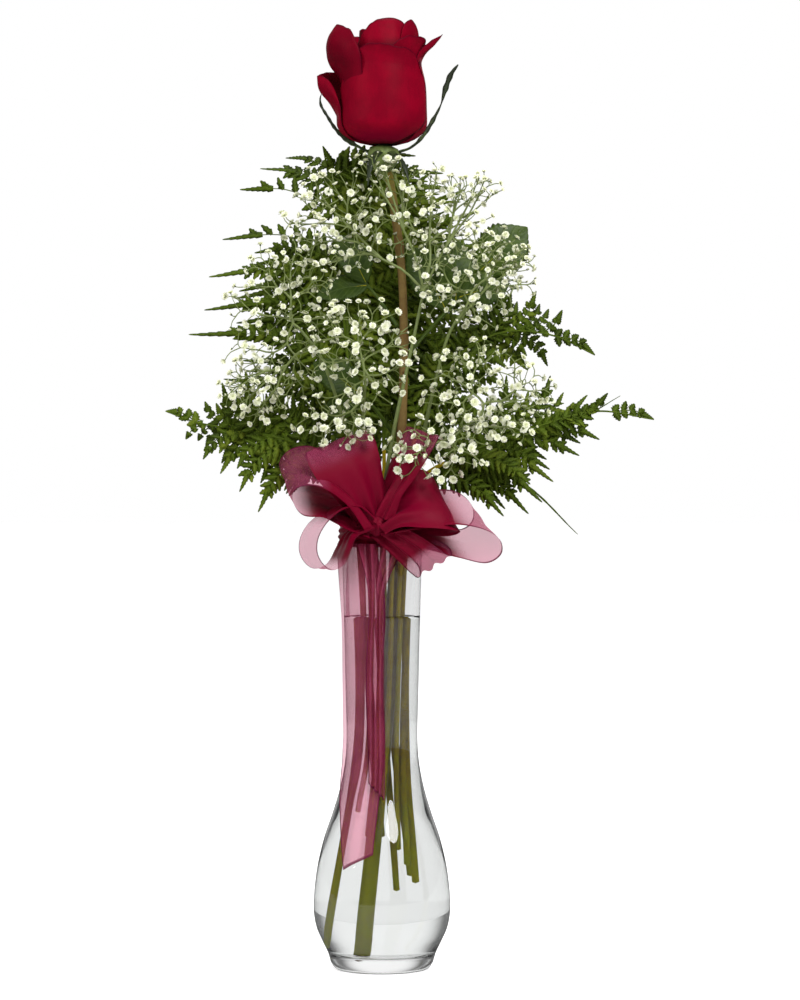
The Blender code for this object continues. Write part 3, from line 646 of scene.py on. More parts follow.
bloom = {
    "rows": 46,
    "cols": 48,
    "lift": 2.8,
    "bowl": 10.5,
    "thin": 0.17,
    "turn": [(0, 0), (0.5, 0.36), (1, 1)],
    "petals": [
        dict(bearing=262, spread=76, base=7.2, slant=0.6, rollFrom=0.8, drop=0.9,
             side=[(0, 22.2), (24, 22.4), (33, 21.5), (40, 20.8), (46, 20.8), (50, 21.0)],
             rim=[(-1, 30), (-0.82, 36), (-0.6, 42.0), (-0.36, 46.4), (-0.1, 48.2), (0.12, 48.0), (0.36, 47.0),
                  (0.6, 45.8), (0.82, 42.5), (1, 34)],
             flare=[(-1, 0.5), (-0.6, 0.8), (-0.25, 2.2), (0.2, 2.8), (0.6, 2.0), (1, 0.6)]),
        dict(bearing=22, spread=66, base=7.0, slant=0.5, rollFrom=0.84, drop=-2.6,
             turn=[(0, 0), (0.5, 0.5), (1, 1)],
             side=[(0, 21.4), (24, 21.5), (33, 20.5), (40, 19.3), (46, 19.5), (50, 20.2)],
             rim=[(-1, 38), (-0.8, 45), (-0.6, 48.6), (-0.47, 51.8), (-0.35, 52.2), (-0.24, 48.8), (0.1, 48.6),
                  (0.6, 48), (1, 38)],
             flare=[(-1, 0.3), (-0.68, 0.8), (-0.56, 2.8), (-0.46, 8.6), (-0.36, 9.3), (-0.25, 2.6),
                    (-0.12, 1.2), (0.4, 1.8), (1, 0.4)]),
        dict(bearing=150, spread=56, base=7.0, slant=-0.4, rollFrom=0.42, drop=-0.4,
             turn=[(0, 0), (0.3, 0.3), (0.6, 0.8), (1, 1)],
             side=[(0, 23.4), (14, 23.5), (20, 24.0), (38, 24.0)],
             rim=[(-1, 26), (-0.5, 34), (0, 38), (0.3, 36.5), (0.5, 34.4), (0.7, 33), (0.85, 29), (1, 22)],
             flare=[(-1, 0.5), (-0.5, 2.5), (0, 4.6), (0.3, 7.2), (0.5, 9.6), (0.68, 6), (0.85, 2.5),
                    (1, 0.5)]),
        dict(bearing=182, spread=60, base=5.9, slant=0.5, rollFrom=0.54, drop=0.6, cast=0.45,
             turn=[(0, 0), (0.2, 0.22), (0.45, 0.86), (0.65, 1), (0.85, 0.8), (1, 0.45)],
             side=[(0, 20.8), (24, 21.1), (33, 21.3), (40, 21.6), (60, 21.2)],
             rim=[(-1, 41), (-0.55, 50), (-0.12, 54.4), (0.08, 58.2), (0.3, 59.4), (0.5, 58.8), (0.66, 57.2),
                  (0.84, 54.8), (1, 49)],
             flare=[(-1, 0.6), (-0.5, 4.2), (-0.15, 6.6), (0.1, 7.0), (0.3, 6.6), (0.55, 5.0), (0.8, 2.4),
                    (1, 0.5)]),
        dict(bearing=322, spread=60, base=5.9, slant=0.3, rollFrom=0.86, drop=0.4, dark=456,
             side=[(0, 19.9), (24, 19.9), (33, 19.2), (40, 18.5), (46, 18.3), (54, 18.3)],
             rim=[(-1, 44), (-0.5, 50.5), (0.2, 52.5), (0.7, 50), (1, 42)],
             flare=[(-1, 0.4), (-0.2, 1.2), (0.4, 2.8), (0.7, 2.4), (1, 0.6)]),
        dict(bearing=76, spread=66, base=5.9, slant=-0.3, rollFrom=0.8, drop=1.0, dark=458,
             side=[(0, 20.3), (24, 20.3), (33, 19.6), (40, 19.0), (46, 18.8), (56, 18.9)],
             rim=[(-1, 43), (-0.5, 52), (0.05, 54), (0.55, 51), (1, 43)],
             flare=[(-1, 0.6), (0, 3.4), (1, 0.6)]),
        dict(bearing=276, spread=66, base=4.8, slant=0.2, rollFrom=0.9, drop=0.0, dark=461,
             side=[(0, 17.9), (24, 17.9), (33, 17.3), (40, 16.9), (46, 16.4), (52, 15.2), (57, 13.6),
                   (60.4, 12.4), (62.4, 11.0)],
             rim=[(-1, 53.5), (-0.72, 57.5), (-0.25, 61), (0.52, 61.2), (0.68, 60.2), (1, 55.5)],
             flare=[(-1, 0), (1, 0)]),
        dict(bearing=350, spread=56, base=4.8, slant=0.2, rollFrom=0.88, drop=0.2, dark=458,
             side=[(0, 18.9), (24, 18.9), (33, 18.2), (40, 17.6), (46, 17.3), (52, 17.0), (61, 16.0)],
             rim=[(-1, 52), (-0.9, 57.5), (-0.75, 59.6), (-0.27, 60.2), (-0.1, 58), (0.1, 54), (0.3, 52),
                  (1, 42)],
             flare=[(-1, 0.1), (-0.4, 0.6), (0.2, 0.8), (1, 0.4)]),
        dict(bearing=140, spread=74, base=4.8, slant=0.3, rollFrom=0.84, drop=0.6, dark=461,
             side=[(0, 17.3), (24, 17.3), (36, 16.6), (46, 16.0), (56, 15.8)],
             rim=[(-1, 46), (-0.5, 54), (0, 56), (0.5, 54), (1, 46)], flare=[(-1, 0.4), (0, 1.8), (1, 0.4)]),
        dict(bearing=208, spread=76, base=3.7, slant=0.4, rollFrom=0.84, drop=0.3, dark=465,
             side=[(0, 14.4), (24, 14.2), (40, 13.2), (50, 12.0), (57, 11.2)],
             rim=[(-1, 50), (-0.4, 56), (0.1, 57), (0.6, 55), (1, 50)], flare=[(-1, 0.3), (0, 0.7), (1, 0.3)]),
        dict(bearing=330, spread=76, base=3.7, slant=0.4, rollFrom=0.84, drop=0.3, dark=465,
             side=[(0, 13.8), (24, 13.6), (40, 12.6), (50, 11.6), (57, 10.8)],
             rim=[(-1, 50), (-0.4, 55.6), (0.1, 56.6), (0.6, 55), (1, 50)],
             flare=[(-1, 0.3), (0, 0.7), (1, 0.3)]),
        dict(bearing=88, spread=76, base=3.7, slant=0.4, rollFrom=0.82, drop=0.6, dark=465,
             side=[(0, 13.4), (24, 13.2), (40, 12.4), (50, 12.0), (60, 11.6)],
             rim=[(-1, 51), (-0.4, 57.6), (0.1, 58.6), (0.6, 57), (1, 51)],
             flare=[(-1, 0.3), (0, 1.5), (1, 0.3)]),
        dict(bearing=250, spread=98, base=2.6, slant=0.5, rollFrom=0.84, drop=0.2, dark=467,
             side=[(0, 10.2), (24, 10.0), (40, 9.2), (50, 8.2), (60, 7.4)],
             rim=[(-1, 53), (-0.4, 58), (0.1, 58.8), (0.6, 57), (1, 53)], flare=[(-1, 0.2), (0, 0.5), (1, 0.2)]),
        dict(bearing=66, spread=98, base=2.6, slant=0.5, rollFrom=0.84, drop=0.3, dark=467,
             side=[(0, 9.6), (24, 9.4), (40, 8.6), (50, 7.8), (60, 7.2)],
             rim=[(-1, 53), (-0.4, 59), (0.1, 60), (0.6, 58), (1, 53)], flare=[(-1, 0.2), (0, 0.7), (1, 0.2)]),
    ],
    "heart": {"rows": 30, "cols": 120, "height": 58.6, "start": 160, "turns": 2.3, "radius": (1.3, 5.4),
              "dark": 467},
}


# unevenness that stays small, so that neighbouring petals keep clear of each other
def ripple(points, scale, seed):
    flat = points.reshape(-1, 3)
    values = [noise.noise((p[0] * scale + seed * 3.1, p[1] * scale, p[2] * scale)) for p in flat]
    return np.array(values).reshape(points.shape[:-1])


def petalPoints(p, seed):
    u = np.linspace(-1, 1, bloom["cols"])[None]
    v = np.linspace(0, 1, bloom["rows"])[:, None] ** 0.9
    rim, flare = smoothValue(p["rim"], u), smoothValue(p["flare"], u)
    rise = rim * v
    first = 1 - math.sqrt(1 - (p["base"] / p["side"][0][1]) ** 2)
    share = np.minimum(1, first + (1 - first) * rise / bloom["bowl"])
    radius = smoothValue(p["side"], rise) * np.sqrt(1 - (1 - share) ** 2)
    radius = radius + p["slant"] * u * np.minimum(1, 2.2 * v)
    roll = np.clip((v - p["rollFrom"]) / (1 - p["rollFrom"]), 0, 1)
    radius = radius + flare * smoothValue(p.get("turn", bloom["turn"]), roll)
    rise = rise - p["drop"] * (flare / np.abs(flare).max() if flare.any() else 0) * roll**3
    spread = p["spread"] * (0.62 + 0.38 * np.sin(np.pi / 2 * np.minimum(1, v / 0.35)))
    spread = spread * (1 - 0.14 * np.maximum(0, (v - 0.78) / 0.22) ** 2)
    angle = np.radians(p["bearing"] + spread * u)
    points = np.stack([radius * np.cos(angle), radius * np.sin(angle), rise * np.ones_like(angle)], -1)
    broad = ripple(points, 0.08, seed) * 0.55 * ease(v, 0.05, 0.3)
    wave = broad + ripple(points, 0.22, seed + 5) * 0.25 * ease(v, 0.6, 1.0)
    points = points + unit(points * (1, 1, 0)) * wave[..., None]
    points[..., 2] += ripple(points, 0.3, seed + 9) * 0.6 * ease(v, 0.8, 1.0) + bloom["lift"]
    return points


# the heart is one tight petal wound into a spiral
def heartPoints(heart):
    u = np.linspace(0, 1, heart["cols"])[None]
    v = np.linspace(0, 1, heart["rows"])[:, None]
    angle = np.radians(heart["start"]) + u * heart["turns"] * 2 * np.pi
    inner, grow = heart["radius"]
    cup = np.sqrt(np.clip(1 - (1 - np.minimum(1, v / 0.24)) ** 2, 0, 1))
    radius = (inner + grow * u) * (0.35 + 0.65 * cup) * (1 - 0.14 * ease(v, 0.5, 1.0)) + 0.5 * ease(v, 0.9, 1.0)
    rise = (heart["height"] - 2.2 * (1 - u) + 0.6 * np.sin(u * 19)) * v * np.ones_like(radius) + bloom["lift"]
    return np.stack([radius * np.cos(angle), radius * np.sin(angle), rise], -1)


# 1 where a petal lies deep in the bloom, and 0 where it stands clear
def shadeTone(points, dark, cast=0.0):
    deep = np.maximum(cast, 1 - ease(points[..., 2], dark - 5, dark + 3))
    cols = points.shape[1]
    return np.concatenate([deep, deep[:, cols - 2:0:-1]], 1).ravel()


def makePetal(number, points, thick, tone):
    pile = Pile()
    addSheet(pile, points * mm, thick, tone)
    finishPiece(f"petal{number:02d}", pile, [velvetPetal], [f"rose_petal_{number:02d}"])


def makeBloom():
    print("rose bloom")
    u = np.linspace(-1, 1, bloom["cols"])[None]
    v = np.linspace(0, 1, bloom["rows"])[:, None]
    thick = bloom["thin"] * (1.6 - 0.8 * v) * np.sqrt(np.clip(1 - np.abs(u) ** 8, 0.05, 1)) * mm
    for seed, petal in enumerate(bloom["petals"]):
        points = petalPoints(petal, seed) + bloomBase
        makePetal(seed + 1, points, thick, shadeTone(points, petal.get("dark", 0), petal.get("cast", 0.0)))
    points = heartPoints(bloom["heart"]) + bloomBase
    makePetal(len(bloom["petals"]) + 1, points, bloom["thin"] * mm, shadeTone(points, bloom["heart"]["dark"]))


# a closed leaf-like blade along a line: widths and thicknesses by row, folded up along its midrib and cupped
def addBlade(pile, line, normal, widths, thick, cols=7, fold=0.0, tone=0.5, paint=0, curl=0.0):
    ways = unit(np.gradient(line, axis=0))
    normal = np.broadcast_to(np.asarray(normal, float), line.shape)
    side = unit(np.cross(ways, normal))
    up = unit(np.cross(side, ways))
    across = np.linspace(-1, 1, cols)
    lift = fold * np.abs(across) + curl * across**2
    points = (line[:, None] + side[:, None] * (across[None] * widths[:, None])[..., None]
              + up[:, None] * (lift[None] * widths[:, None])[..., None])
    body = np.sqrt(np.clip(1 - across**4, 0.05, 1))[None] * np.asarray(thick).reshape(-1, 1)
    addSheet(pile, points, body, tone, paint)


# each sepal is a route of (bearing, radius, height over the hip's rim) and its half widths

sepals = [
    ([(6, 7.6, -1.2), (6, 14.2, 1.5), (6, 19.8, 7), (6, 25.3, 16), (5, 28.8, 23), (4.5, 30.8, 30),
      (4, 33.8, 38), (3, 37.4, 43)],
     [(0, 2.6), (0.13, 1.8), (0.27, 1.15), (0.46, 1.0), (0.57, 0.5), (0.64, 0.45), (0.72, 1.25), (0.8, 1.35),
      (0.9, 1.2), (1, 0.3)]),
    ([(176, 7.6, -1.2), (176, 13.5, 2.0), (177, 18.8, 5.4), (178, 24.2, 10.8), (178, 28.2, 17), (178, 31.2, 22),
      (178, 31.8, 25.5), (178, 31.2, 28)],
     [(0, 2.6), (0.25, 1.4), (0.5, 0.9), (0.75, 0.7), (0.9, 0.6), (1, 0.15)]),
    ([(248, 7.6, -1.4), (248, 13.5, -4.6), (248, 18.5, -11.4), (248, 20.5, -20)],
     [(0, 2.6), (0.3, 2.3), (0.7, 1.2), (1, 0.1)]),
    ([(304, 7.6, -1.4), (304, 13.5, -4.6), (304, 19.5, -10.4), (304, 22.5, -18)],
     [(0, 2.6), (0.3, 2.2), (0.7, 1.3), (1, 0.1)]),
    ([(96, 7.6, -1.4), (96, 15.5, -1.6), (96, 24, 6.4), (96, 28.6, 18), (96, 29.6, 29)],
     [(0, 2.6), (0.25, 1.7), (0.6, 1.0), (1, 0.1)]),
]


def makeSepals():
    for n, (route, widths) in enumerate(sepals):
        line = smoothLine([bloomBase + polar(*place) for place in route], 52) * mm
        share = np.linspace(0, 1, 52)
        wide = smoothValue(widths, share) * (1 + 0.14 * np.sin(share * 60)) * mm
        out = unit((line - bloomBase * mm) * (1, 1, 0))
        # the first two turn their faces to the front
        turned = ease(share, 0.08, 0.4)[:, None] * 0.85
        front = np.array([0.0, -1.0, 0.0]) * turned * (1 if n < 2 else 0)
        face = unit(out * (1 - turned) + front + out * 1e-3)
        thick, tones = (0.5 - 0.3 * share) * mm, 0.3 + 0.25 * (1 - share)
        pile = Pile()
        addBlade(pile, line, face, np.maximum(wide, 0.06 * mm), thick, 7, -0.25, tones)
        finishPiece(f"sepal{n + 1}", pile, [sepalSkin], [f"rose_sepal_{n + 1}"])


# rose leaves: a stalk, then leaflets as base, tip, width, facing and outline

roseLeaves = {
    "roseLeafRight": ("rose_leaf_right", [(13.2, 2.0, 307), (26, 7, 322), (40, 9.5, 336), (50, 10, 347)], [
        ((47, 10, 347), (73, 10, 371.5), 27, (-0.1, -1, 0.05), "square"),
        ((39, 9, 336), (64, 7, 343), 20, (0, -1, 0.3), "oval"),
        ((37, 9, 334), (36, 12, 367), 22, (0.3, -1, 0), "oval"),
        ((32, 9, 330), (14, 13, 362), 22, (0.1, -1, 0.1), "oval")]),
    "roseLeafLeft": ("rose_leaf_left", [(7.6, 2.0, 321), (-1, 7, 334), (-9, 9.5, 344)], [
        ((-8, 9.2, 343), (-22, 10, 368), 18, (0.2, -1, 0.2), "oval"),
        ((-7, 9, 342), (-33, 9, 337), 15, (0, -1, 0.5), "oval")]),
    "roseLeafLow": ("rose_leaf_low", [(5.6, -1.5, 267), (-4, -8, 280), (-12, -11, 288)], [
        ((-11, -10.6, 287), (-34, -11, 303), 18, (0, -1, 0.3), "oval"),
        ((-10, -10.4, 286), (-30, -12, 275), 14, (0, -1, -0.2), "oval")]),
}

leaflets = {
    "rows": 66,
    "teeth": 15,
    "notch": 0.13,
    "bow": 0.06,
    "curl": -0.14,
    "outlines": {
        "oval": [(0, 0.06), (0.08, 0.36), (0.22, 0.78), (0.42, 1), (0.62, 0.9), (0.82, 0.56), (0.94, 0.22),
                 (1, 0.01)],
        "square": [(0, 0.06), (0.1, 0.4), (0.3, 0.84), (0.52, 1), (0.68, 0.9), (0.84, 0.5), (1, 0.01)],
    },
}


def addLeaflet(pile, base, tip, width, normal, outline, seed):
    rng = random.Random(seed)
    base, tip = np.array(base, float), np.array(tip, float)
    length = np.linalg.norm(tip - base)
    normal = unit(normal)
    rows = leaflets["rows"]
    middle = (base + tip) / 2 + normal * length * leaflets["bow"]
    line = smoothLine([base, middle, tip - normal * length * 0.05], rows) * mm
    share = np.linspace(0, 1, rows)
    saw = 1 - (share * leaflets["teeth"] % 1)
    toothed = 1.02 - leaflets["notch"] * saw * ease(share, 0.08, 0.2)
    wide = width / 2 * smoothValue(leaflets["outlines"][outline], share) * toothed + 0.25
    wide[-1] = 0.12
    fold, tone = 0.2 + 0.08 * rng.random(), 0.42 + 0.16 * rng.random()
    thick = (0.22 - 0.1 * share) * mm
    addBlade(pile, line, normal, wide * mm, thick, 13, fold, tone, curl=leaflets["curl"])
    addTube(pile, line - unit(normal) * 0.16 * mm, np.linspace(0.5, 0.16, rows) * mm, 6, 0.75, 1)


def makeRoseLeaves():
    print("rose leaves")
    for n, (name, (node, stalk, leafletRows)) in enumerate(roseLeaves.items()):
        pile = Pile()
        addTube(pile, smoothLine(stalk, 40) * mm, np.linspace(1.1, 0.7, 40) * mm, 8, 0.62)
        for k, leaflet in enumerate(leafletRows):
            addLeaflet(pile, *leaflet, n * 10 + k)
        finishPiece(name, pile, [roseLeafBlade, stemSkin], [node])


# fern fronds: stem is the bearing at the mouth, then bearing, radius and height of its foot
# a branch is its share of the midrib, its tip and perhaps a habit: an open one has gaps along its outer edge,
# a thin one runs out to a thread and an edgeOn one lies flat
# infill is how many shorter branches grow between each two
# the leaflets thin out from outerFrom and end at bladeEnd, both shares of the branch
# lean is their angle at its base in degrees, how much less it is at its tip, and its spread

fern = {
    "stemRadius": 1.4,
    "spacing": 4.0,
    "openSpacing": 1.75,
    "arch": 0.12,
    "leaflet": 11.0,
    "leafletWidth": 5.2,
    "teeth": 4,
    "lean": (62, 24, 7),
    "outerFrom": {"full": 0.4, "open": 0.24, "thin": 0.4, "edgeOn": 0.4},
    "bladeEnd": {"full": 0.74, "open": 0.74, "thin": 0.5, "edgeOn": 0.6},
    "edgeOn": (0.1, -0.85, 0.7),
    "infillReach": (0.66, 0.86),
    "infillStray": (-9, 17),
    "stray": (-8, 12),
    "fronds": {
        "fernLeft": dict(
            node="fern_frond_left", stem=(128, 92, 14, 62), infill=3,
            midrib=[(-12, 12, 255), (-17, 15, 300), (-21, 17, 345), (-25, 18, 385), (-30, 19, 413)],
            branches=[(0.1, -80, 13, 295), (0.26, -97, 12, 317), (0.42, -90, 13, 330), (0.54, -87, 14, 346),
                      (0.66, -81, 15, 366, "open"), (0.78, -72, 16, 391, "open"),
                      (0.87, -62, 17, 402, "edgeOn"), (0.94, -49, 18, 407, "edgeOn"), (0.12, 22, 20, 292),
                      (0.28, 30, 21, 318), (0.44, 38, 22, 346), (0.58, 42, 22, 368), (0.7, 40, 21, 386),
                      (0.77, 37, 25, 393), (0.84, 31, 21, 400), (0.92, 17, 20, 408)]),
        "fernLowLeft": dict(
            node="fern_frond_low_left", stem=(180, 160, 21, 14), infill=2,
            midrib=[(-19, -3, 246), (-40, -9, 261), (-66, -13, 268), (-90, -15, 272), (-107, -16, 278)],
            branches=[(0.1, -46, -17, 236), (0.22, -61, -18, 228), (0.36, -70, -19, 238),
                      (0.5, -80, -19, 247), (0.64, -88, -18, 254), (0.8, -97, -17, 264), (0.1, -34, -8, 292),
                      (0.26, -54, -10, 300), (0.42, -68, -12, 299), (0.55, -79, -13, 292),
                      (0.68, -88, -14, 283)]),
        "fernRight": dict(
            node="fern_frond_right", stem=(42, -6, 13, 43), infill=2,
            midrib=[(14, 12, 255), (24, 15, 286), (40, 17, 308), (62, 17, 319), (86, 14, 317), (107, 10, 307)],
            branches=[(0.08, 44, 20, 262), (0.2, 54, 20, 276), (0.36, 64, 20, 290), (0.52, 74, 18, 300),
                      (0.68, 84, 15, 302), (0.12, 2, 22, 300), (0.28, 20, 22, 332), (0.42, 42, 22, 344),
                      (0.54, 62, 19, 345), (0.66, 78, 16, 340), (0.78, 91, 14, 330)]),
        "fernLowRight": dict(
            node="fern_frond_low_right", stem=(352, 328, 12, 52), infill=2,
            midrib=[(19, -4, 244), (44, -9, 258), (76, -12, 270), (106, -13, 278), (135, -12, 274)],
            branches=[(0.06, 60, -20, 226), (0.15, 97, -22, 217, "thin"), (0.24, 85, -20, 243),
                      (0.36, 98, -18, 256), (0.52, 108, -16, 264), (0.16, 40, -6, 282), (0.3, 62, -6, 296),
                      (0.44, 84, -8, 296), (0.56, 119, -10, 286, "thin"), (0.68, 112, -11, 287)]),
        "fernBack": dict(
            node="fern_frond_back", stem=(88, 40, 13, 45), infill=4,
            midrib=[(1, 20, 250), (0, 34, 288), (-2, 46, 330), (-4, 54, 368)],
            branches=[(0.06, -50, 36, 246), (0.22, -58, 42, 272), (0.4, -60, 48, 304), (0.58, -52, 53, 334),
                      (0.74, -40, 56, 360), (0.88, -24, 58, 378), (0.08, 54, 36, 248), (0.24, 60, 43, 276),
                      (0.42, 64, 50, 314), (0.6, 67, 54, 348), (0.75, 60, 57, 368), (0.84, 50, 58, 384),
                      (0.91, 43, 60, 395), (0.97, 26, 60, 404)]),
    },
}


# one toothed leaflet: each tooth swells slowly and drops back quickly
def addPinnule(pile, root, way, normal, length, width, tone, rng, teeth):
    share = np.array([0.0] + [(k + part) / teeth for k in range(teeth) for part in (0.18, 0.84)] + [1.0])
    side = unit(np.cross(way, normal))
    bend = rng.uniform(-0.12, 0.2)
    line = (root + np.outer(share * length, way) + np.outer(share**2 * length * bend, side)
            - np.outer(share**2 * length * rng.uniform(0.02, 0.2), normal))
    outline = np.minimum(1, 0.45 + share * 3) * (1 - share**2.2) ** 0.6
    swell = np.where(np.arange(len(share)) % 2, 0.7, 1.0)
    wide = width / 2 * outline * swell
    wide[-1] = 0.03 * width
    tones = tone + 0.1 * share - 0.06
    addBlade(pile, line, normal, np.maximum(wide, 0.00004), 0.00011 * (1 - 0.5 * share), 3, 0.22, tones)


# a side branch: its rib, leaflets either side, and a long toothed point
def addPinna(pile, root, tip, normal, rng, toward, half, habit="full"):
    length = np.linalg.norm(tip - root)
    way = (tip - root) / length
    normal = unit(normal - way * (normal @ way))
    side = np.cross(way, normal)
    upper = np.sign(side @ toward)
    line = smoothLine([root, root + (tip - root) * 0.5 + side * upper * length * fern["arch"], tip], 40)
    ways = unit(np.gradient(line, axis=0))
    tone = rng.uniform(0.26, 0.6)
    addTube(pile, line[::3], np.linspace(0.42, 0.12, 14) * mm, 4, 0.5, 0, False)
    last = fern["bladeEnd"][habit]
    steep, less, stray = fern["lean"]
    at = 0.05
    while at < last:
        outer = at > fern["outerFrom"][habit]
        openOuter = habit == "open" and outer
        for hand in (-1, 1):
            if habit in ("open", "thin") and outer and hand != upper:
                continue
            here = min(0.97, at + (0.012 if hand > 0 else 0.0))
            i = int(here * 39)
            reach = min(half, fern["leaflet"] * mm) * (1 - here) ** 0.6 * (0.75 + 0.25 * min(1, here * 6))
            reach *= rng.uniform(0.86, 1.1) * (1.15 if openOuter else 1.0)
            lean = math.radians(steep - less * here + rng.uniform(-stray, stray))
            across = unit(np.cross(ways[i], normal)) * hand
            out = ways[i] * math.cos(lean) + across * math.sin(lean)
            tilt = unit(normal + across * rng.uniform(-0.5, 0.25) + ways[i] * rng.uniform(-0.3, 0.3))
            tilt = unit(tilt - out * (tilt @ out))
            width = fern["leafletWidth"] * mm * (0.7 + 0.3 * (1 - here))
            addPinnule(pile, line[i], out, tilt, reach, width, tone + rng.uniform(-0.14, 0.16), rng,
                       fern["teeth"] if here < 0.45 else 3)
        at += fern["spacing"] * mm / length * (fern["openSpacing"] if openOuter else 1.0)
    share = np.linspace(0, 1, 26)
    broad = 0.55 if habit == "thin" else 1.8
    wide = (broad * (1 - share) ** 0.62 * (0.68 + 0.45 * ((share * 6) % 1)) + 0.14) * mm
    addBlade(pile, smoothLine(line[int(40 * (last - 0.08)):], 26), normal, wide, 0.00012, 3, 0.2, tone)


def branchOf(at, x, y, z, habit="full"):
    return at, np.array([x, y, z], float), habit


# shorter branches between each two neighbours on the same side of the midrib
def withInfill(branches, count):
    grown = list(branches)
    for (low, lowTip, before), (high, highTip, habit) in zip(branches, branches[1:]):
        if high > low and "full" in (before, habit):
            for part in (k / (count + 1) for k in range(1, count + 1)):
                grown.append((low + (high - low) * part, lowTip * (1 - part) + highTip * part, "infill"))
    return grown


def addFrondStem(pile, n, stem, midrib):
    route = smoothLine(routeInVase(*stem) + midrib, 150) * mm
    share = np.linspace(0, 1, 150)
    waist = 0.36 + 0.09 * (n % 3)
    tones = smoothValue([(0, 0.9), (0.08, 0.8), (0.16, 0.45), (0.4, waist), (0.6, 0.5), (1, 0.55)], share)
    taper = np.interp(share, [0, 0.5, 0.7, 1], [1.0, 1, 0.6, 0.25])
    radii = fern["stemRadius"] * mm * uneven(150, 0.12, n) * taper
    bare = int(np.argmax(route[:, 2] > (midrib[0][2] + 8) * mm))
    addTube(pile, route[:bare + 1], radii[:bare + 1], 10, tones[:bare + 1], 1)
    addTube(pile, route[bare:], radii[bare:], 8, 0.5)


def makeFronds():
    print("fern fronds")
    for n, (name, frond) in enumerate(fern["fronds"].items()):
        rng = random.Random(40 + n)
        pile = Pile()
        addFrondStem(pile, n, frond["stem"], frond["midrib"])
        line = smoothLine(frond["midrib"], 60) * mm
        ways = unit(np.gradient(line, axis=0))
        for at, tip, habit in withInfill([branchOf(*row) for row in frond["branches"]], frond["infill"]):
            i = int(at * 59)
            root = line[i]
            tip = tip * mm
            if habit == "infill":
                tip = root + (tip - root) * rng.uniform(*fern["infillReach"])
                tip = tip + np.array([0, rng.uniform(*fern["infillStray"]), 0]) * mm
                habit = "full"
            tip = tip + np.array([0, rng.uniform(*fern["stray"]), 0]) * mm
            plane = np.cross(ways[i], tip - root)
            plane = plane if plane[1] < 0 else -plane
            normal = unit(unit(plane) + np.array([rng.uniform(-0.3, 0.3), -0.5, rng.uniform(-0.1, 0.5)]))
            if habit == "edgeOn":
                normal = np.array(fern["edgeOn"])
            addPinna(pile, root, tip, normal, rng, ways[i], 0.3 * np.linalg.norm(tip - root), habit)
        upright, facing = np.array([0, 0, 1.0]), np.array([0.0, -1.0, 0.1])
        addPinna(pile, line[int(0.84 * 59)], line[-1], facing, rng, upright, 6 * mm)
        finishPiece(name, pile, [fernBlade, stemSkin], [frond["node"]])


# baby's breath: stem as above, route, then the clouds of flowers as centre, half sizes, how many and how big
# shapes are the flowers from open to bud: openness, then rings of petals as how many, how long and their lean

sprigs = {
    "stemRadius": 1.05,
    "apart": 3.7,
    "flower": (0.68, 0.96),
    "twig": 0.28,
    "mouth": 226,
    "shapes": [
        (1.0, [(6, 2.1, 82), (6, 2.0, 54), (5, 1.7, 26)]),
        (0.85, [(6, 2.0, 80), (6, 1.9, 54), (4, 1.6, 24)]),
        (0.6, [(6, 1.9, 78), (5, 1.7, 46)]),
        (0.2, [(5, 1.3, 70), (3, 1.0, 40)]),
    ],
    "shapeShares": (8, 6, 3, 4),
    "clouds": {
        "sprigTop": dict(
            node="babys_breath_top", stem=(272, 240, 12, 66),
            route=[(4, -14, 258), (17, -15, 320), (24, -14, 352)],
            clouds=[(22, -10, 374, 34, 15, 27, 142, 0.95), (-22, -13, 372, 28, 14, 30, 124, 1.05),
                    (45, -10, 389, 15, 10, 9, 34, 0.8), (2, -14, 399, 20, 7, 7, 26, 0.95)]),
        "sprigLeft": dict(
            node="babys_breath_left", stem=(216, 186, 14, 72),
            route=[(-14, -14, 255), (-28, -24, 300), (-40, -27, 318)],
            clouds=[(-48, -24, 322, 33, 15, 42, 150, 1.0), (-62, -22, 288, 20, 13, 17, 76, 1.0)]),
        "sprigRight": dict(
            node="babys_breath_right", stem=(326, 300, 14, 60),
            route=[(18, -9, 255), (31, -20, 310), (42, -24, 330)],
            clouds=[(46, -22, 344, 31, 15, 27, 146, 1.0), (62, -20, 350, 16, 12, 14, 30, 0.85)]),
        "sprigLowRight": dict(
            node="babys_breath_low_right", stem=(300, 268, 12, 70),
            route=[(12, -19, 250), (34, -33, 266), (48, -40, 274)],
            clouds=[(52, -38, 288, 34, 11, 27, 138, 1.1), (30, -42, 258, 29, 8, 17, 60, 1.2),
                    (58, -36, 270, 18, 8, 10, 24, 1.0)]),
        "sprigCentre": dict(
            node="babys_breath_centre", stem=(248, 214, 12, 78),
            route=[(-8, -15, 247), (-9, -28, 276), (-8, -40, 290)],
            clouds=[(-10, -42, 304, 27, 11, 30, 118, 1.05), (-22, -36, 272, 22, 9, 14, 44, 1.1)]),
        "sprigBack": dict(
            node="babys_breath_back", stem=(106, 60, 10, 38),
            route=[(-4, 22, 250), (-5, 50, 285), (-4, 66, 308)],
            clouds=[(-3, 71, 332, 37, 10, 37, 90, 1.0)]),
    },
}


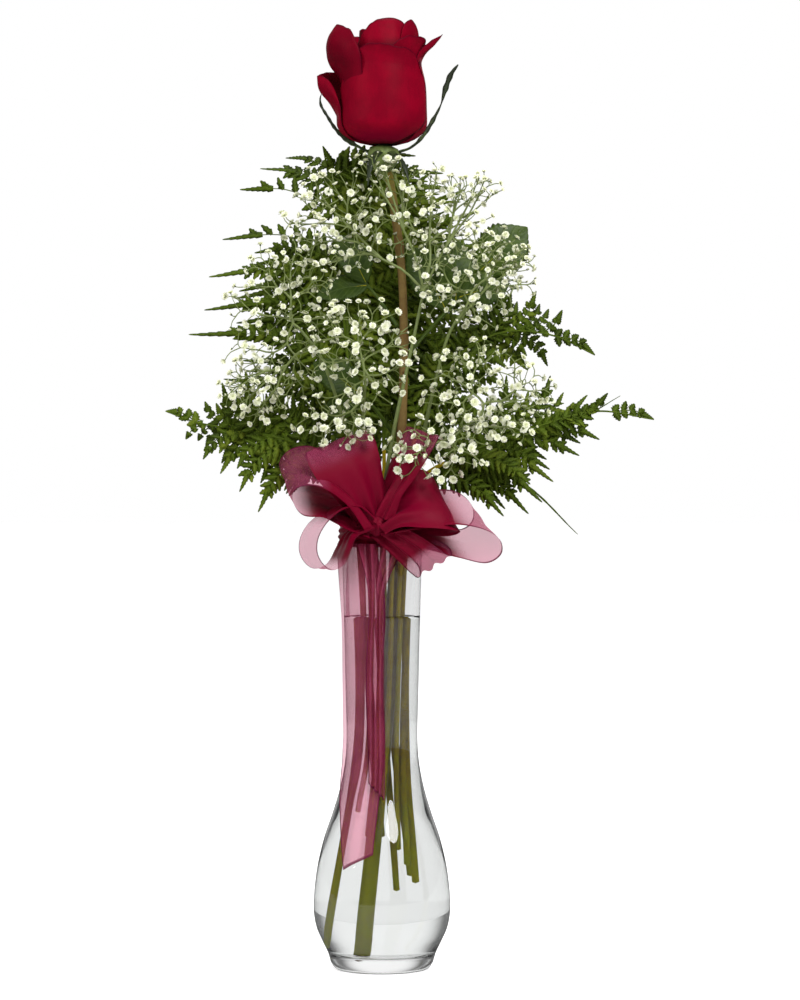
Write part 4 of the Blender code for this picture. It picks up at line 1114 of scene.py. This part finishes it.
# one small round flower as points, faces, how many are calyx, and tones, standing up from its calyx
def flowerShape(openness, petals, seed):
    rng = random.Random(seed)
    points, tones = [], [0.16] * 15
    for up, r in ((0.0, 0.16), (0.5, 0.5), (1.35, 0.72)):
        points += [(r * math.cos(a), r * math.sin(a), up) for a in np.linspace(0, 2 * np.pi, 5, endpoint=False)]
    faces = gridQuads(3, 5, True).tolist()
    green = len(faces)
    for ring, (count, length, lean) in enumerate(petals):
        for k in range(count):
            angle = 2 * math.pi * (k + 0.5 * ring + rng.uniform(-0.14, 0.14)) / count
            tilt = math.radians(lean * openness + rng.uniform(-8, 8))
            reach, wide = length * rng.uniform(0.88, 1.1), length * 0.52
            start = len(points)
            for v, spread, hook in ((0.0, 0.25, 0.0), (0.55, 1.0, 0.0), (1.0, 0.8, 0.12)):
                for u in (-1, 0, 1):
                    out = v * reach * math.sin(tilt) + hook * reach
                    up = 1.1 + v * reach * math.cos(tilt) - hook * reach * 0.5
                    up += (0.14 * reach if u else 0.0) * v
                    out -= 0.08 * reach if (u == 0 and v == 1.0) else 0.0
                    side = u * wide * spread
                    points.append((out * math.cos(angle) - side * math.sin(angle),
                                   out * math.sin(angle) + side * math.cos(angle), up))
                    # painted shade: petals darken toward their bases and on the inner rings
                    tones.append(0.46 + 0.48 * v - 0.07 * ring)
            faces += (gridQuads(3, 3) + start).tolist()
    return np.array(points), np.array(faces), green, np.array(tones)


flowerShapes = [flowerShape(*shape, n + 1) for n, shape in enumerate(sprigs["shapes"])]


def addFlower(pile, place, way, size, rng):
    points, faces, green, tones = rng.choices(flowerShapes, sprigs["shapeShares"])[0]
    way = unit(way)
    side = unit(np.cross(way, (0.31, 0.2, 0.93)))
    spin = rng.uniform(0, 6.28)
    across = side * math.cos(spin) + np.cross(way, side) * math.sin(spin)
    turned = np.stack([across, np.cross(way, across), way])
    where = place + (points @ turned) * size * mm
    pile.add(where, faces[:green], None, tones + rng.uniform(-0.1, 0.08))
    # the petals share the points just added
    pile.faces.append(faces[green:] + pile.count - len(points))
    pile.paints.append(np.full(len(faces) - green, 1))


# points spread evenly through an egg-shaped cloud, thicker toward its outside and clear of the rose's stem
def cloudPoints(centre, half, count, rng, taken):
    found, tries = [], 0
    while len(found) < count and tries < 9000:
        tries += 1
        p = np.array([rng.uniform(-1, 1) for _ in range(3)])
        r = p @ p
        if r > 1 or (r < 0.3 and rng.random() < 0.5):
            continue
        p = np.array(centre) + p * half
        if math.hypot(p[0], p[1]) < 7 or any((p - q) @ (p - q) < sprigs["apart"] ** 2 for q in taken):
            continue
        found.append(p)
        taken.append(p)
    return found


# twigs that fork from a point toward every flower in a group
def growTwigs(pile, start, way, flowers, radius, rng, big):
    flowers = np.asarray(flowers)
    if len(flowers) == 1:
        end = flowers[0]
        reach = np.linalg.norm(end - start)
        stray = np.array([rng.uniform(-1, 1) for _ in range(3)]) * reach * 0.06
        middle = start + (end - start) * 0.5 + way * reach * 0.12 + stray
        line = smoothLine([start, middle, end], 5) * mm
        addTube(pile, line, np.linspace(radius, 0.2, 5) * mm, 4, 0.55, 0, False)
        facing = (end - middle) + np.array([0, -0.35, 0.25]) * reach * 0.5
        addFlower(pile, line[-1], facing, rng.uniform(*sprigs["flower"]) * big, rng)
        return
    middle = flowers.mean(0)
    share = 0.5 if len(flowers) > 3 else 0.6
    fork = start + (middle - start) * share * rng.uniform(0.85, 1.1)
    bend = (start + fork) / 2 + way * np.linalg.norm(fork - start) * 0.08
    thin = max(sprigs["twig"], radius * (0.86 if len(flowers) > 8 else 0.74))
    line = smoothLine([start, bend, fork], 6) * mm
    addTube(pile, line, np.linspace(radius, thin, 6) * mm, 5 if radius > 0.5 else 4, 0.5, 0, False)
    spread = flowers - middle
    main = np.linalg.svd(spread, full_matrices=False)[2][0]
    groups = 3 if len(flowers) > 12 and rng.random() < 0.6 else 2
    for part in np.array_split(np.argsort(spread @ main), groups):
        growTwigs(pile, fork, unit(fork - start), flowers[part], thin, rng, big)


def makeSprigs():
    print("baby's breath")
    taken = []
    for n, (name, sprig) in enumerate(sprigs["clouds"].items()):
        rng = random.Random(70 + n)
        pile = Pile()
        route, clouds = sprig["route"], sprig["clouds"]
        line = smoothLine(routeInVase(*sprig["stem"]) + route, 120) * mm
        share = np.linspace(0, 1, 120)
        tones = np.interp(share, [0, 0.12, 0.3, 0.6, 1], [0.85, 0.62, 0.4 + 0.12 * (n % 3), 0.5, 0.55])
        taper = np.interp(share, [0, 0.6, 1], [1.15, 1, 0.7])
        radii = sprigs["stemRadius"] * mm * taper * uneven(120, 0.12, n + 20)
        mouth = int(np.argmax(line[:, 2] > sprigs["mouth"] * mm))
        addTube(pile, line[:mouth + 1], radii[:mouth + 1], 9, tones[:mouth + 1], 2)
        addTube(pile, line[mouth:], radii[mouth:], 9, 0.4)
        groups = [cloudPoints(cloud[:3], cloud[3:6], cloud[6], rng, taken) for cloud in clouds]
        middle, end = np.array(route[-2:], float)
        for k, (group, cloud) in enumerate(zip(groups, clouds)):
            start = end + (middle - end) * 0.45 if k else end
            growTwigs(pile, start, unit(end - middle), group, 0.72, rng, cloud[7])
        finishPiece(name, pile, [sprigGreen, sprigPetal, stemSkin], [sprig["node"]])
        print("     flowers:", sum(len(group) for group in groups))


# sheer ribbon: each loop is a line of stations, as place, direction its width lies in and half width there
# gatherReach and sheerReach are how far from the knot its cloth is still gathered
# a tail has lines of (height, bearing) and (height, half width), and how far it stands off the glass

ribbon = {
    "width": 38.0,
    "knot": (-2.6, -27.6, 222.5),
    "pleats": 3.0,
    "pleatDepth": 2.8,
    "knotReach": 13,
    "gatherReach": 52.0,
    "sheerReach": 34.0,
    "sheerPleats": 0.25,
    "sheerLoops": ("bowHangingLeft", "bowLowerRight"),
    "loops": {
        "bowHangingLeft": ("bow_loop_hanging_left", [
            (-6, -27, 223, 0.3, -0.9, 0.2, 7.5),
            (-14, -28, 230.5, 0.27, -0.96, 0, 10), (-23.5, -28, 229, 0.27, -0.96, 0, 15),
            (-31, -27, 223.5, 0.27, -0.96, 0, 18), (-35.6, -26, 216, 0.27, -0.96, 0, 18.5),
            (-36.2, -26, 208.5, 0.27, -0.96, 0, 18.5), (-33, -26, 202.5, 0.27, -0.96, 0, 18.5),
            (-28, -26, 200, 0.27, -0.96, 0, 18.5), (-22.5, -26.5, 203, 0.27, -0.96, 0, 18),
            (-19, -27, 210, 0.27, -0.96, 0, 16), (-15, -27, 217, 0.27, -0.96, 0, 11),
            (-6, -27, 221, 0.3, -0.9, 0, 7.5)]),
        "bowLeft": ("bow_loop_left", [
            (-6, -29, 224, 0.1, -0.75, -0.6, 8),
            (-16, -32, 239, 0.1, -0.75, -0.6, 12), (-30, -34, 250, 0.15, -0.75, -0.6, 17),
            (-42, -32, 250, 0.2, -0.8, -0.5, 18.5), (-47.5, -28.5, 243.5, 0.25, -0.85, -0.4, 18.5),
            (-42, -26, 235.5, 0.2, -0.85, -0.45, 18), (-29, -25, 232.5, 0.1, -0.85, -0.45, 15),
            (-16, -26, 227.5, 0.1, -0.6, -0.75, 12), (-6, -27, 221, 0, -0.6, -0.7, 8.5)]),
        "bowUpperLeft": ("bow_loop_upper_left", [
            (-5, -30, 225, -0.8, -0.35, -0.45, 8.5),
            (-10, -34, 238, -0.8, -0.35, -0.4, 13), (-16.5, -37, 251, -0.8, -0.4, -0.35, 18),
            (-21, -35, 260.5, -0.8, -0.45, -0.3, 19), (-21.5, -29, 263, -0.8, -0.5, -0.3, 18.5),
            (-17, -24, 257, -0.8, -0.4, -0.35, 17), (-11, -22, 245, -0.8, -0.35, -0.4, 13),
            (-5.5, -24, 232, -0.8, -0.35, -0.4, 10), (-4, -26, 224, -0.7, -0.5, -0.3, 8)]),
        "bowTop": ("bow_loop_top", [
            (-2, -30, 226, 0.8, -0.5, -0.3, 8.5),
            (4, -32, 237, 0.45, -0.86, -0.15, 11), (11, -33, 250, 0.42, -0.88, -0.15, 16),
            (17.5, -31, 262, 0.4, -0.9, -0.15, 18), (20.5, -27, 268, 0.4, -0.9, -0.1, 18.5),
            (18, -24, 262.5, 0.4, -0.9, -0.15, 17), (10.5, -22, 248, 0.42, -0.88, -0.15, 13),
            (4, -24, 235, 0.6, -0.75, -0.3, 10), (-1, -26, 225, 0.75, -0.6, -0.3, 8)]),
        "bowUpperRight": ("bow_loop_upper_right", [
            (0, -30, 224, 0.1, -0.5, -0.85, 9),
            (8, -35, 231, 0.15, -0.45, -0.88, 12), (18, -39, 234.5, 0.2, -0.45, -0.86, 16.5),
            (27, -37, 234, 0.3, -0.5, -0.8, 18), (32, -31, 231.5, 0.35, -0.6, -0.7, 18),
            (28, -26, 229, 0.3, -0.6, -0.75, 17), (18, -23.5, 228, 0.2, -0.55, -0.8, 14),
            (8, -24, 226, 0.15, -0.5, -0.85, 12), (1, -26, 223, 0.1, -0.6, -0.8, 9)]),
        "bowRight": ("bow_loop_right", [
            (1, -28, 221.5, 0.2, -0.7, -0.7, 8),
            (14, -31, 226, 0.25, -0.75, -0.6, 12), (29, -33, 230, 0.3, -0.8, -0.5, 16),
            (42, -32, 229, 0.35, -0.8, -0.48, 18), (50.5, -29, 223.5, 0.4, -0.8, -0.45, 18.5),
            (51.5, -26, 216, 0.4, -0.8, -0.45, 18.5), (45, -24.5, 211.5, 0.35, -0.8, -0.48, 18),
            (33.5, -24, 213.5, 0.3, -0.8, -0.5, 15.5), (19, -24.5, 217.5, 0.25, -0.7, -0.6, 11.5),
            (3, -26.5, 220.5, 0.2, -0.7, -0.6, 8)]),
        "bowLowerRight": ("bow_loop_lower_right", [
            (0, -29, 220, 0.6, -0.65, 0.45, 7.5),
            (8, -31.5, 215, 0.6, -0.65, 0.45, 9.5), (16, -33, 209, 0.6, -0.68, 0.42, 11.5),
            (22.5, -31.5, 203.5, 0.6, -0.7, 0.4, 13), (26, -28, 201.5, 0.6, -0.7, 0.4, 13.5),
            (25, -24.5, 206, 0.6, -0.7, 0.4, 12.5), (17.5, -23.5, 211.5, 0.6, -0.7, 0.42, 10),
            (9, -24.5, 216, 0.6, -0.7, 0.4, 9), (2, -26, 220, 0.6, -0.7, 0.4, 7.5)]),
    },
    "tailTop": 212.4,
    "tails": {
        "bowTailLong": dict(
            node="bow_tail_long", bearing=[(52, 249), (76, 242), (92, 234), (112, 228), (212, 225)],
            half=[(52, 8.5), (76, 11), (100, 14), (204, 14.5), (212, 13)],
            standOff=0.8, bottom=56, slant=4, rows=190, deep=0.5, waves=9),
        "bowTailShort": dict(
            node="bow_tail_short", bearing=[(88, 264), (150, 262), (200, 266), (212, 270)],
            half=[(88, 4.4), (150, 4.8), (200, 7), (212, 13)],
            standOff=1.7, bottom=90, slant=-4, rows=150, deep=2.0, waves=24),
    },
    "tieRadius": 21.5,
    "tieHeight": 218,
    "tieHalf": 7.5,
    "knotRadius": 6.0,
    "knotHalf": 4.8,
}


# a loop's stations made into cloth, pleated where it is narrow, and how far it is gathered
def clothAlong(rows, cols, stations, phase, sheer):
    stations = np.array(stations, float)
    line = smoothLine(stations[:, :3], rows)
    share = np.linspace(0, 1, rows)
    at = lengthsAlong(stations[:, :3])
    at = at / at[-1]
    across = unit(np.stack([np.interp(share, at, stations[:, k]) for k in (3, 4, 5)], 1)).T
    kernel = np.hanning(9) / np.hanning(9).sum()
    across = unit(np.stack([np.convolve(np.pad(axis, 4, "edge"), kernel, "valid") for axis in across], 1))
    half = smoothValue(list(zip(at, stations[:, 6])), share)
    along = unit(np.gradient(line, axis=0))
    face = unit(np.cross(along, across))
    w = np.linspace(-1, 1, cols)
    squeeze = np.clip(1 - half / (ribbon["width"] / 2), 0, 1)
    depth = ribbon["pleatDepth"] * squeeze**1.1
    pleat = depth[:, None] * np.sin(w[None] * math.pi * ribbon["pleats"] + phase)
    drift = np.sin(share * 5 + phase)[:, None] * 0.8 * np.cos(w[None] * 2.1 + phase)
    crease = 0.5 * np.sin(w[None] * 7 + phase * 2 + share[:, None] * 4) * (0.4 + squeeze[:, None])
    points = (line[:, None] + across[:, None] * (w[None] * half[:, None])[..., None]
              + face[:, None] * (pleat + drift + crease)[..., None]) * mm
    reach, pleats = (ribbon["sheerReach"], ribbon["sheerPleats"]) if sheer else (ribbon["gatherReach"], 1.0)
    near = 1 - ease(np.linalg.norm(line - ribbon["knot"], axis=1), ribbon["knotReach"], reach)
    return points, np.maximum(squeeze * pleats, near)


# a piece of cloth from its rows and columns of points
def makeCloth(name, node, points, gathered):
    rows, cols = points.shape[:2]
    u, v = np.linspace(0, 1, cols), np.linspace(0, 1, rows)
    tone = np.broadcast_to(np.asarray(gathered, float).reshape(-1, 1), (rows, cols))
    pile = Pile()
    pile.add(points, gridQuads(rows, cols), np.stack(np.broadcast_arrays(u[None], v[:, None]), -1), tone)
    return finishPiece(name, pile, [sheerRibbon], [node])


def makeBow():
    print("ribbon")
    for n, (name, (node, stations)) in enumerate(ribbon["loops"].items()):
        points, gathered = clothAlong(96, 34, stations, n * 1.7, name in ribbon["sheerLoops"])
        loop = makeCloth(name, node, points, gathered)
    for name, tail in ribbon["tails"].items():
        makeTail(name, tail)
    makeKnotAndTie()


# a tail that hangs down the front of the glass, with a slanting cut end
def makeTail(name, tail):
    top = ribbon["tailTop"]
    u = np.linspace(-1, 1, 44)[None]
    v = np.linspace(0, 1, tail["rows"])[:, None]
    low = tail["bottom"] + tail["slant"] * u
    height = top + (low - top) * v
    squeeze = 1 - ease(v, 0.0, 0.25)
    bearing = smoothValue(tail["bearing"], height)
    wide = smoothValue(tail["half"], height) * (1 + 0.05 * np.sin(v * 11))
    wave = tail["deep"] * (1 + np.sin(u * tail["waves"] / 2 + v * 3)) * (0.8 + 0.4 * squeeze)
    radius = outlineRadius(height) + tail["standOff"] + wave + 0.35 * (1 + np.sin(u * 4 + v * 9))
    angle = np.radians(bearing) + u * wide / radius
    points = np.stack([radius * np.cos(angle), radius * np.sin(angle), height], -1) * mm
    # the tail's top counts as gathered: denser cloth there, darkened with painted fold shade
    piece = makeCloth(name, tail["node"], points, 0.3 * squeeze)


def makeKnotAndTie():
    w = np.linspace(-1, 1, 26)[None]
    turn = np.linspace(0, 1, 150)[:, None] * 2 * np.pi * 0.995
    radius = ribbon["tieRadius"] + 0.42 * np.sin(w * 15 + np.sin(turn * 3)) + 0.2 * np.sin(turn * 5 + w * 4)
    height = ribbon["tieHeight"] + ribbon["tieHalf"] * w + 0.5 * np.sin(turn * 2)
    points = np.stack([radius * np.cos(turn), radius * np.sin(turn), height], -1) * mm
    # the tie and the knot count as fully gathered: dense cloth in the colour of the painted fold shade
    tie = makeCloth("neckTie", "neck_tie", points, 1.0)
    turn = np.linspace(0, 1, 90)[:, None] * 2 * np.pi * 0.995
    swell = np.cos(w * np.pi / 2 * 0.9995) ** 0.55
    radius = ribbon["knotRadius"] * swell
    radius = radius * (1 + 0.09 * np.sin(turn * 7 + w * 2.5) + 0.05 * np.sin(turn * 3 - w * 5))
    across = w * ribbon["knotHalf"] + 0.5 * np.sin(turn * 2)
    points = np.stack([radius * 1.08 * np.cos(turn), across, radius * 0.95 * np.sin(turn)], -1)
    knot = makeCloth("bowKnot", "bow_knot", (points + ribbon["knot"]) * mm, 1.6)


# make everything

print("vase, water and stems")
makeVase()
makeWater()
makeRoseStem()
makeBloom()
makeSepals()
makeRoseLeaves()
makeFronds()
makeSprigs()
makeBow()


# floor, light and camera: each lamp is power, place, size and whether shiny pieces mirror it

studio = {
    "floorTone": 0.6,
    "floorMirrored": 0.1,
    "floorGlow": {"bare": 0.75, "throughGlass": 0.76},
    "world": {"back": 0.98, "sides": 0.16, "front": 0.15, "top": 0.55},
    "worldEdges": {"front": (-0.9, -0.2), "back": (0.7, 0.96), "top": (0.35, 0.8)},
    "lamps": {
        "keyLamp": (50.0, (0.8, -1.7, 1.6), 1.1, True),
        "fillLamp": (18.0, (-1.7, -1.2, 1.0), 0.9, True),
        "topLamp": (14.0, (0.1, 0.2, 2.1), 1.0, True),
        "backLamp": (14.0, (0.9, 1.9, 1.3), 1.0, False),
    },
    "lampsFace": (0, 0, 0.3),
    "camera": (0.009, -1.6, 0.234),
    "lens": 115.2,
}


def makeFloor():
    reach = 30.0
    pile = Pile()
    points = [(-reach, -reach, 0), (reach, -reach, 0), (reach, reach, 0), (-reach, reach, 0)]
    pile.add(points, np.array([[0, 1, 2, 3]]))
    ob = bpy.data.objects.new("paleFloor", pile.mesh("paleFloor"))
    scene.collection.objects.link(ob)
    tone, mirrored, glow = studio["floorTone"], studio["floorMirrored"], studio["floorGlow"]
    mat, tree, shader = newMaterial("palePaper", Roughness=0.85, Specular_IOR_Level=0.1,
                                    Emission_Color=rgb(1.0, 1.0, 1.0))
    # the glow whitens the paper, bare and through the glass, without lighting the flowers from below
    path = tree.nodes.new("ShaderNodeLightPath").outputs
    bare = times(path["Is Camera Ray"], glow["bare"])
    behind = times(path["Is Transmission Ray"], glow["throughGlass"])
    feed(shader.inputs["Emission Strength"], larger(bare, behind))
    # and the glass mirrors little of it
    colour = mixed(path["Is Glossy Ray"], rgb(tone, tone, tone), rgb(mirrored, mirrored, mirrored))
    feed(shader.inputs["Base Color"], colour)
    bumped(shader, cloudy(tree, 900.0, 2.0), 0.1, 0.0001)
    ob.data.materials.append(mat)


# a bright wall behind, with darker sides that draw the edges of the glass
def makeWorld():
    look, edges = studio["world"], studio["worldEdges"]
    world = bpy.data.worlds.new("studioWorld")
    scene.world = world
    world.use_nodes = True
    tree = world.node_tree
    split = splitUp(tree.nodes.new("ShaderNodeTexCoord").outputs["Generated"])
    level = eased(split["Y"], *edges["front"], look["front"], look["sides"])
    level = eased(split["Y"], *edges["back"], level, look["back"])
    level = eased(split["Z"], *edges["top"], level, look["top"])
    level = larger(level, tree.nodes.new("ShaderNodeLightPath").outputs["Is Camera Ray"])
    feed(tree.nodes["Background"].inputs["Strength"], level)
    feed(tree.nodes["Background"].inputs["Color"], rgb(1.0, 1.0, 1.0))


def addLamp(name, power, place, size, mirrored):
    lamp = bpy.data.lights.new(name, "AREA")
    lamp.energy, lamp.size, lamp.shape = power, size, "DISK"
    ob = bpy.data.objects.new(name, lamp)
    ob.location = place
    ob.rotation_euler = (Vector(studio["lampsFace"]) - Vector(place)).to_track_quat("-Z", "Y").to_euler()
    ob.visible_transmission = False
    ob.visible_glossy = mirrored
    scene.collection.objects.link(ob)


def makeCamera():
    cam = bpy.data.cameras.new("photoCamera")
    cam.lens, cam.sensor_width = studio["lens"], 36.0
    cam.clip_start, cam.clip_end = 0.01, 60
    ob = bpy.data.objects.new("photoCamera", cam)
    ob.location = studio["camera"]
    ob.rotation_euler = (math.pi / 2, 0, 0)
    scene.collection.objects.link(ob)
    scene.camera = ob


makeFloor()
makeWorld()
for lampName, lampSettings in studio["lamps"].items():
    addLamp(lampName, *lampSettings)
makeCamera()
scene.view_settings.view_transform = "Standard"
scene.cycles.transparent_max_bounces = 32
print("studio made")
